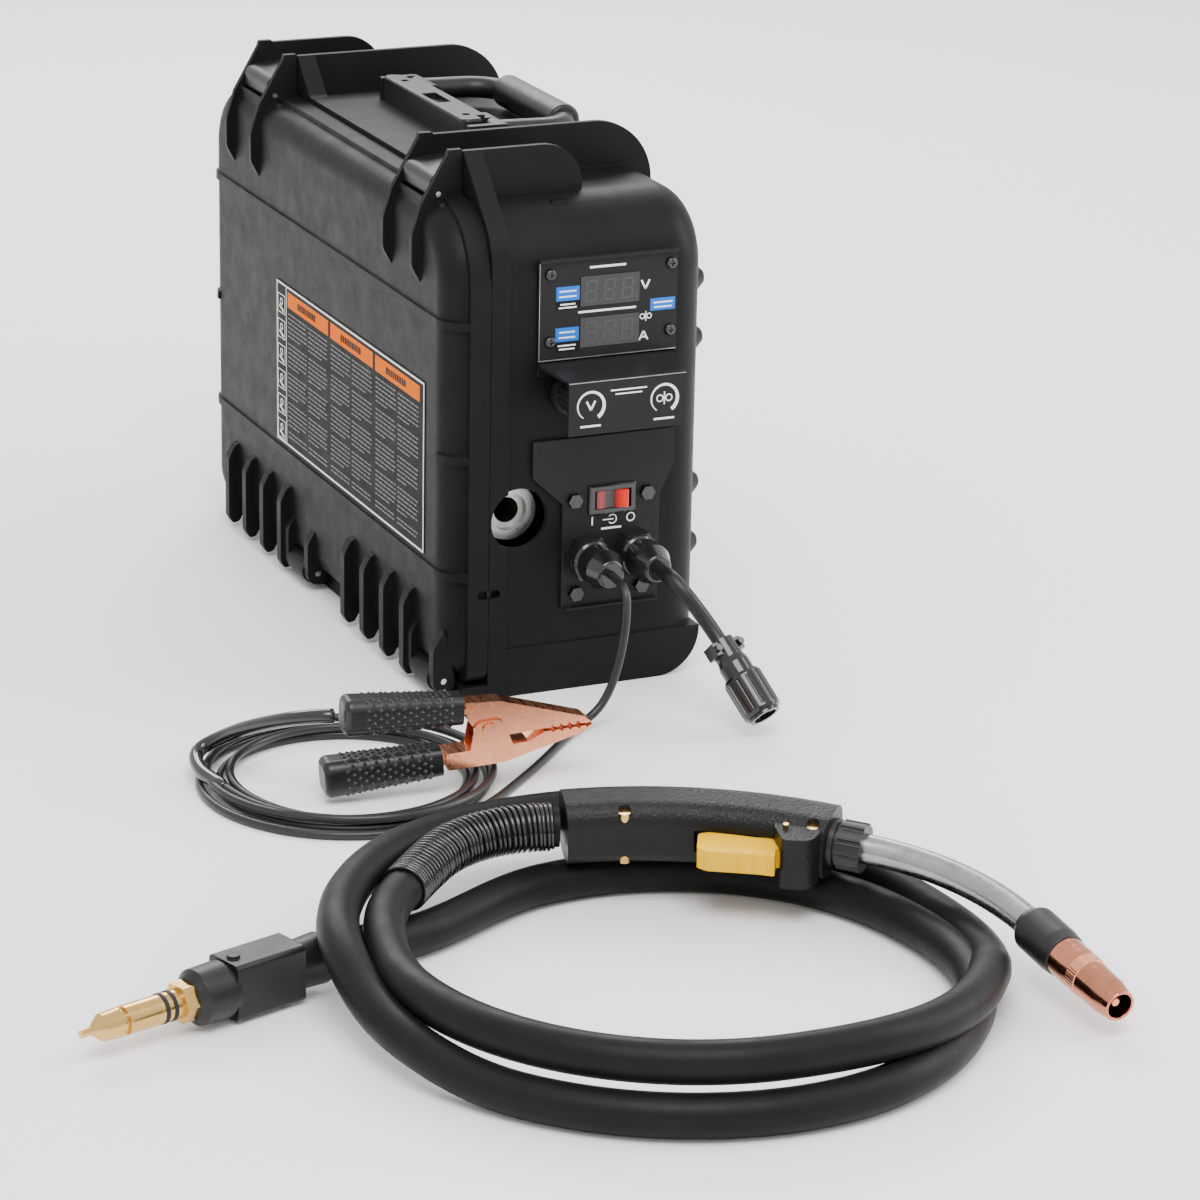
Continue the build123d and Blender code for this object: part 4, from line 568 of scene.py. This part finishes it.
def guard_spring(spots, ways):
    """The wire spring on the hose, close-wound at both ends and open between them."""
    pitch = along([
        (0, SPRING_CLOSED), (0.06, SPRING_CLOSED), (0.12, SPRING_OPEN), (0.9, SPRING_OPEN),
        (0.95, SPRING_CLOSED), (1, SPRING_CLOSED),
    ])
    points = helix_along(spots, ways, SPRING_RADIUS, pitch)
    curve = bpy.data.curves.new("guard_spring", "CURVE")
    curve.dimensions = "3D"
    curve.bevel_depth = SPRING_STRAND
    curve.bevel_resolution = 2
    curve.use_fill_caps = True
    strand = curve.splines.new("POLY")
    strand.points.add(len(points) - 1)
    for knot, point in zip(strand.points, points):
        knot.co = (*point, 1)
    strand.use_smooth = True
    curve.materials.append(MATERIALS["gloss_black"])
    piece = bpy.data.objects.new("guard_spring", curve)
    bpy.context.scene.collection.objects.link(piece)
    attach(piece, "gun")
    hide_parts("hose_spring")
    return piece


guard_spots, guard_ways, hose_long = resampled(
    line_points(hose), SPRING_BEGIN, SPRING_END, SPRING_STEPS,
)
spring = guard_spring(guard_spots, guard_ways)

SLEEVE_LONG = 0.150
SLEEVE_SHORT_OF_END = 0.0005
SLEEVE_RADIUS = 4.2 * MM
SLEEVE_MOUTH = 2.9 * MM
sleeve_spots, sleeve_ways, lead_long = resampled(
    line_points(sense_cord), -SLEEVE_LONG, -SLEEVE_SHORT_OF_END, 60,
)
sleeve_mesh = tube_mesh(
    "lead_sleeve", sleeve_spots, sleeve_ways,
    along([(0, SLEEVE_MOUTH), (0.04, SLEEVE_RADIUS), (1, SLEEVE_RADIUS)]),
)
sleeve = finish_piece("lead_sleeve", sleeve_mesh, "gloss_black", "feeder")

control_long = resampled(line_points(control), 0, 0, 3)[2]


# ------------------------------------------------------------------ nozzle's knurled band
BAND_SIDES = 96
BAND_RIDGE = 0.14
BAND_PROFILE = ((15.5, 10.2), (16.0, 10.75), (23.0, 10.7), (23.5, 10.1))    # run, radius


def middle_of(spots):
    """The mean of some points."""
    return sum(spots, Vector()) / len(spots)


def node_middle(node):
    """The mean of a node's vertices; on a turned node it lies on the axis."""
    return middle_of([v.co for v in NODES[node].data.vertices])


def nozzle_band():
    """A ring of small ridges round the nozzle, a third of the way along it."""
    head = node_middle("neck_insulator")
    body_middle = node_middle("gun_nozzle")
    way = (body_middle - head).normalized()
    spots = [v.co for v in NODES["gun_nozzle"].data.vertices]
    start = min((s - head).dot(way) for s in spots)
    across = way.orthogonal().normalized()
    other = way.cross(across)
    build = bmesh.new()
    rings = []
    for run, radius in BAND_PROFILE:
        ring = []
        for s in range(BAND_SIDES):
            angle = 2 * math.pi * s / BAND_SIDES
            out = radius + (BAND_RIDGE if s % 2 else 0)
            around = across * math.cos(angle) + other * math.sin(angle)
            ring.append(build.verts.new(head + way * (start + run * MM) + around * out * MM))
        rings.append(ring)
    for a, b in zip(rings, rings[1:] + rings[:1]):
        for s in range(BAND_SIDES):
            build.faces.new((a[s], a[(s + 1) % BAND_SIDES], b[(s + 1) % BAND_SIDES], b[s]))
    finish_piece("nozzle_band", mesh_from("nozzle_band", build), "copper", "gun")


nozzle_band()


# ------------------------------------------------------------------ ridges on the trigger
RIDGE_COUNT = 5
RIDGE_STEP = 7.5 * MM
RIDGE_HALF = 0.5 * MM
RIDGE_LONG = 5.2 * MM
RIDGE_HIGH = 0.5 * MM
RIDGE_RAY = 40 * MM


def trigger_ridges():
    """Thin ribs across the trigger's outer edge, found by casting rays at it."""
    finder = BVHTree.FromObject(NODES["gun_trigger"], bpy.context.evaluated_depsgraph_get())
    middle = node_middle("gun_trigger")
    lead = (node_middle("neck_nut") - middle).normalized()
    side = Vector((0, 0, 1))
    outward = -side.cross(lead).normalized()
    side = lead.cross(outward).normalized()
    build = bmesh.new()
    for k in range(RIDGE_COUNT):
        run = (k - RIDGE_COUNT // 2) * RIDGE_STEP
        hit = finder.ray_cast(middle + lead * run + outward * RIDGE_RAY, -outward)[0]
        if hit is None:
            continue
        corners = [
            hit + lead * a * RIDGE_HALF + side * b * RIDGE_LONG + outward * c * RIDGE_HIGH
            for c in (-1, 1) for a, b in SQUARE
        ]
        made = [build.verts.new(corner) for corner in corners]
        build.faces.new(made[3::-1])
        build.faces.new(made[4:])
        for i in range(4):
            j = (i + 1) % 4
            build.faces.new((made[i], made[j], made[4 + j], made[4 + i]))
    mesh = mesh_from("trigger_ridges", build)
    finish_piece("trigger_ridges", mesh, "trigger_yellow", "gun_trigger")


trigger_ridges()


# ------------------------------------------------------------------ studs on the clamp grips
GRIP_HEADING = Vector((0.9888, -0.1293, 0.0)).normalized()
GRIP_END = 6 * MM
STUD_ROWS = 15
STUD_COLUMNS = 14
STUD_HALF = 1.9 * MM
STUD_HIGH = 1.0 * MM
STUD_SUNK = 0.3 * MM
STUD_RAY = 30 * MM
STUD_START = 0.17
STUD_SPAN = 0.75
STUD_FACING = 0.6


def grip_studs(name, node, body):
    """Rows of small pyramids standing on a grip, found by casting rays at its mesh."""
    grip = NODES[node]
    finder = BVHTree.FromObject(grip, bpy.context.evaluated_depsgraph_get())
    spots = [grip.matrix_world @ v.co for v in grip.data.vertices]
    middle = middle_of(spots)
    reach = max((s - middle).dot(GRIP_HEADING) for s in spots)
    back = min((s - middle).dot(GRIP_HEADING) for s in spots)
    start = middle_of([s for s in spots if (s - middle).dot(GRIP_HEADING) < back + GRIP_END])
    end = middle_of([s for s in spots if (s - middle).dot(GRIP_HEADING) > reach - GRIP_END])
    way = (end - start).normalized()
    across = way.cross(Vector((0, 0, 1))).normalized()
    over = across.cross(way)
    long = (end - start).length
    build = bmesh.new()
    for row in range(STUD_ROWS):
        at = start + way * (STUD_START + STUD_SPAN * row / (STUD_ROWS - 1)) * long
        for column in range(STUD_COLUMNS):
            angle = 2 * math.pi * (column + 0.5 * (row % 2)) / STUD_COLUMNS
            out = across * math.cos(angle) + over * math.sin(angle)
            hit, normal = finder.ray_cast(at + out * STUD_RAY, -out)[:2]
            if hit is None or normal.dot(out) < STUD_FACING:
                continue
            side = way.cross(normal).normalized() * STUD_HALF
            run = normal.cross(side).normalized() * STUD_HALF
            base = [
                build.verts.new(hit - normal * STUD_SUNK + run * a + side * b) for a, b in DIAMOND
            ]
            tip = build.verts.new(hit + normal * STUD_HIGH)
            build.faces.new(base[::-1])
            for i in range(4):
                build.faces.new((base[i], base[(i + 1) % 4], tip))
    finish_piece(name, mesh_from(name, build), "grip_rubber", body)


grip_studs("studs_upper_grip", "clamp_upper_grip", "clamp_upper")
grip_studs("studs_lower_grip", "clamp_lower_grip", "feeder")

# ------------------------------------------------------------------ printed marks
FRONT_FACE = -207.6
WINDOW_FACE = -208.1
GUARD_FACE = -238.2
OVERPRINT = 0.1


def digit(left, low, wide, high):
    """The seven segments of one unlit digit."""
    thick = wide * 0.2
    middle = low + high / 2
    top = low + high
    gap = thick * 0.25
    segments = [
        bar(left + thick, left + wide - thick, top - thick, top),
        bar(left + thick, left + wide - thick, middle - thick / 2, middle + thick / 2),
        bar(left + thick, left + wide - thick, low, low + thick),
    ]
    for x in (left, left + wide - thick):
        segments.append(bar(x, x + thick, middle + gap, top - gap))
        segments.append(bar(x, x + thick, low + gap, middle - gap))
    return segments


def leaning(shapes, low, lean=0.09):
    """Shapes that lean to the right above a height."""
    return [[(x + (z - low) * lean, z) for x, z in shape] for shape in shapes]


DIGIT_LEFT = 0.5
DIGIT_STEP = 11.6
DIGIT_WIDE = 7.6
DIGIT_HIGH = 13.2
DIGIT_POINT = 1.2
digits = []
for centre_z in (246.2, 221.4):
    low = centre_z - DIGIT_HIGH / 2
    for column in range(3):
        left = DIGIT_LEFT + column * DIGIT_STEP
        digits += leaning(digit(left, low, DIGIT_WIDE, DIGIT_HIGH), low)
        digits.append(bar(left + 9.4, left + 9.4 + DIGIT_POINT, low, low + DIGIT_POINT))
printed("meter_digits", digits, "digit_grey", "feeder", front_place(WINDOW_FACE))

blue = [bar(-17.1, -2.3, 241.5, 250), bar(-17.3, -2.4, 217, 225.4), bar(43.2, 59.2, 230.4, 237.8)]
printed("meter_stickers", blue, "blue_film", "feeder", front_place(FRONT_FACE))
black = [bar(-17.1, -2.3, 236.2, 241.3), bar(-17.3, -2.4, 210.6, 216.8)]
printed("meter_notes", black, "label_film", "feeder", front_place(FRONT_FACE))
RULE_HALF = 0.45
lines = []
for left, right, rows in (
    (-15.6, -4.0, (247.2, 244.0, 239.4, 237.4)), (-15.8, -4.2, (222.6, 219.4, 214.6, 212.4)),
    (45.0, 57.6, (235.2, 232.4)),
):
    for row in rows:
        inset = DICE.uniform(0, 1.6)
        lines.append(bar(left + inset, right - inset, row - RULE_HALF, row + RULE_HALF))
printed("sticker_rules", lines, "white_ink", "feeder", front_place(FRONT_FACE - OVERPRINT))


def letter_v(x, z, size, wide):
    """The sign for volts."""
    return [stroke((x - size / 2, z + size / 2), (x, z - size / 2), wide),
            stroke((x + size / 2, z + size / 2), (x, z - size / 2), wide)]


def letter_a(x, z, size, wide):
    """The sign for amperes."""
    return [stroke((x - size / 2, z - size / 2), (x, z + size / 2), wide),
            stroke((x + size / 2, z - size / 2), (x, z + size / 2), wide),
            stroke((x - size * 0.28, z - size * 0.16), (x + size * 0.28, z - size * 0.16), wide)]


def feed_mark(x, z, size, wide):
    """Two small rollers with the wire between them."""
    marks = [stroke((x, z - size * 0.75), (x, z + size * 0.75), wide)]
    for side in (-1, 1):
        marks += arc((x + side * size * 0.55, z), size * 0.38, 0, 360, wide, 1, 14)
    return marks


signs = letter_v(39.8, 247, 5.2, 1.1) + letter_a(39.2, 216, 5.4, 1.0)
signs += feed_mark(40.4, 227.6, 3.9, 0.6)
signs += [bar(4, 27, 259.6, 260.9), bar(-3, 34, 233.2, 234.4)]
printed("meter_signs", signs, "white_ink", "feeder", front_place(FRONT_FACE))

VOLTAGE_X = -7.5
SPEED_X = 39.4
dials = []
for x in (VOLTAGE_X, SPEED_X):
    dials += arc((x, 186), 8.4, 236, -56, 0.55, 4.2, 40)
    dials.append(bar(x - 6.5, x + 6.5, 173.2, 174.4))
dials += letter_v(VOLTAGE_X, 186.2, 5.4, 1.2) + feed_mark(SPEED_X, 186.2, 5.2, 0.7)
dials += [bar(5, 28, 193.6, 194.5), bar(8, 25, 191.2, 192.0)]
printed("dial_marks", dials, "white_ink", "feeder", front_place(GUARD_FACE))

# painted edge highlight along the lower edge of the knob guard
edges = [bar(-21.4, 53, 200.1, 200.7)]
printed("guard_edge_highlight", edges, "painted_edge_highlight", "feeder", front_place(GUARD_FACE))
# painted edge highlights along the meter panel's bottom, left and top edges
edges = [
    bar(-27.8, 60.2, 206.1, 206.7), bar(-27.8, -27.4, 206.7, 265.2), bar(-27.4, 60.2, 264.9, 265.2),
]
printed("meter_edge_highlight", edges, "painted_edge_highlight", "feeder", front_place(FRONT_FACE))

MARK_Z = 104.6
switch = [bar(8.2, 9.0, MARK_Z - 2.6, MARK_Z + 2.6)]
switch += arc((33.6, MARK_Z), 2.5, 0, 360, 0.7, 1, 22)
switch += arc((21.6, MARK_Z), 2.7, -140, 140, 0.6, 1, 22)
switch += [stroke((15.4, MARK_Z), (22.4, MARK_Z), 0.6), bar(14.5, 27.5, 98.6, 99.8)]
printed("switch_marks", switch, "white_ink", "feeder", front_place(FRONT_FACE))

# door label: a white frame, an orange heading and three columns of plain rules
DOOR_FACE = -84.4
LABEL_NEAR = -172.0
LABEL_FAR = 81.0
LABEL_LOW = 83.0
LABEL_HIGH = 190.0
STRIP = LABEL_FAR - 18
COLUMN_STEP = 76
COLUMN_GAP = 4
PARAGRAPH_ROWS = 6
ROW_STEP = 2.9
PARAGRAPH_STEP = 5.0
ROW_HALF = 0.42
WORD_GAP = 1.1
frame_bars = border(LABEL_NEAR + 1, LABEL_FAR - 1, LABEL_LOW + 1, LABEL_HIGH - 1, 1.2)
frame_bars.append(bar(STRIP - 0.7, STRIP, LABEL_LOW + 1, LABEL_HIGH - 1))
columns = []
for k in range(3):
    begin = STRIP - 3 - COLUMN_STEP * k
    columns.append((begin, begin - COLUMN_STEP + COLUMN_GAP))
printed("label_border", frame_bars, "white_ink", "door", side_place(DOOR_FACE))
heading = [bar(end, begin, LABEL_HIGH - 14.5, LABEL_HIGH - 4.5) for begin, end in columns]
printed("label_heading", heading, "orange_ink", "door", side_place(DOOR_FACE))
heads = []
rules = []
for begin, end in columns:
    spot = begin - 18
    for block in range(9):
        wide = DICE.uniform(2.2, 3.4)
        heads.append(bar(spot - wide, spot, LABEL_HIGH - 11.6, LABEL_HIGH - 7.4))
        spot -= wide + 0.9
    z = LABEL_HIGH - 18.5
    row = 0
    while z > LABEL_LOW + 6:
        for half in (0, 1):
            high_y = begin - 1 - half * (begin - end) / 2
            low_y = high_y - (begin - end) / 2 + 3
            if row % PARAGRAPH_ROWS == PARAGRAPH_ROWS - 1:
                low_y += DICE.uniform(8, 18)
            word = high_y
            while word > low_y + 2:
                length = min(DICE.uniform(2.5, 7.5), word - low_y)
                rules.append(bar(word - length, word, z - ROW_HALF, z + ROW_HALF))
                word -= length + WORD_GAP
        row += 1
        z -= ROW_STEP if row % PARAGRAPH_ROWS else PARAGRAPH_STEP
printed("label_heads", heads, "label_film", "door", side_place(DOOR_FACE - OVERPRINT))
printed("label_rules", rules, "grey_ink", "door", side_place(DOOR_FACE))
pictures = []
for row in range(6):
    z = LABEL_LOW + 9 + row * 16.6
    y = STRIP + 8.5
    pictures += border(y - 6.5, y + 6.5, z - 6.2, z + 6.2, 0.5)
    pictures += arc((y, z + 1.4), 2.0, 0, 360, 0.8, 1, 12)
    pictures.append(stroke((y - 4, z - 4.4), (y + 3.5, z - 1.6), 1.6))
printed("label_pictures", pictures, "white_ink", "door", side_place(DOOR_FACE))

# ------------------------------------------------------------------ floor and light
FLOOR_HALF = 6.0
floor_mesh = bpy.data.meshes.new("floor")
floor_mesh.from_pydata([(x * FLOOR_HALF, y * FLOOR_HALF, 0) for x, y in SQUARE], [], [(0, 1, 2, 3)])
floor = bpy.data.objects.new("floor", floor_mesh)
bpy.context.scene.collection.objects.link(floor)
floor_tree, floor_shader, floor_where = new_material("floor_white")
floor_shader.inputs["Roughness"].default_value = 0.75
cloudy = noise(floor_tree, floor_where, 3.0)
tint(floor_tree, floor_shader, cloudy, (0.90, 0.90, 0.90), (0.92, 0.92, 0.92))
floor_mesh.materials.append(MATERIALS["floor_white"])

world = bpy.data.worlds.new("studio")
world.use_nodes = True
sky = world.node_tree.nodes["Background"]
sky.inputs["Color"].default_value = (1, 1, 1, 1)
sky.inputs["Strength"].default_value = 1.3
bpy.context.scene.world = world


def lamp(name, place, target, size, power):
    """A rectangular lamp that shines from a place at a target."""
    light = bpy.data.lights.new(name, "AREA")
    light.shape = "RECTANGLE"
    light.size, light.size_y = size
    light.energy = power
    lamp_object = bpy.data.objects.new(name, light)
    lamp_object.location = place
    lamp_object.rotation_euler = (Vector(target) - Vector(place)).to_track_quat("-Z", "Y").to_euler()
    bpy.context.scene.collection.objects.link(lamp_object)


lamp("key", (-0.5, -1.6, 2.2), (0, -0.3, 0.1), (1.5, 1.2), 64)
lamp("side", (2.0, -0.9, 1.1), (0, -0.2, 0.15), (1.0, 1.8), 40)
lamp("back", (0.4, 1.8, 1.7), (0, 0, 0.15), (2.0, 0.8), 52)

bpy.context.view_layer.update()
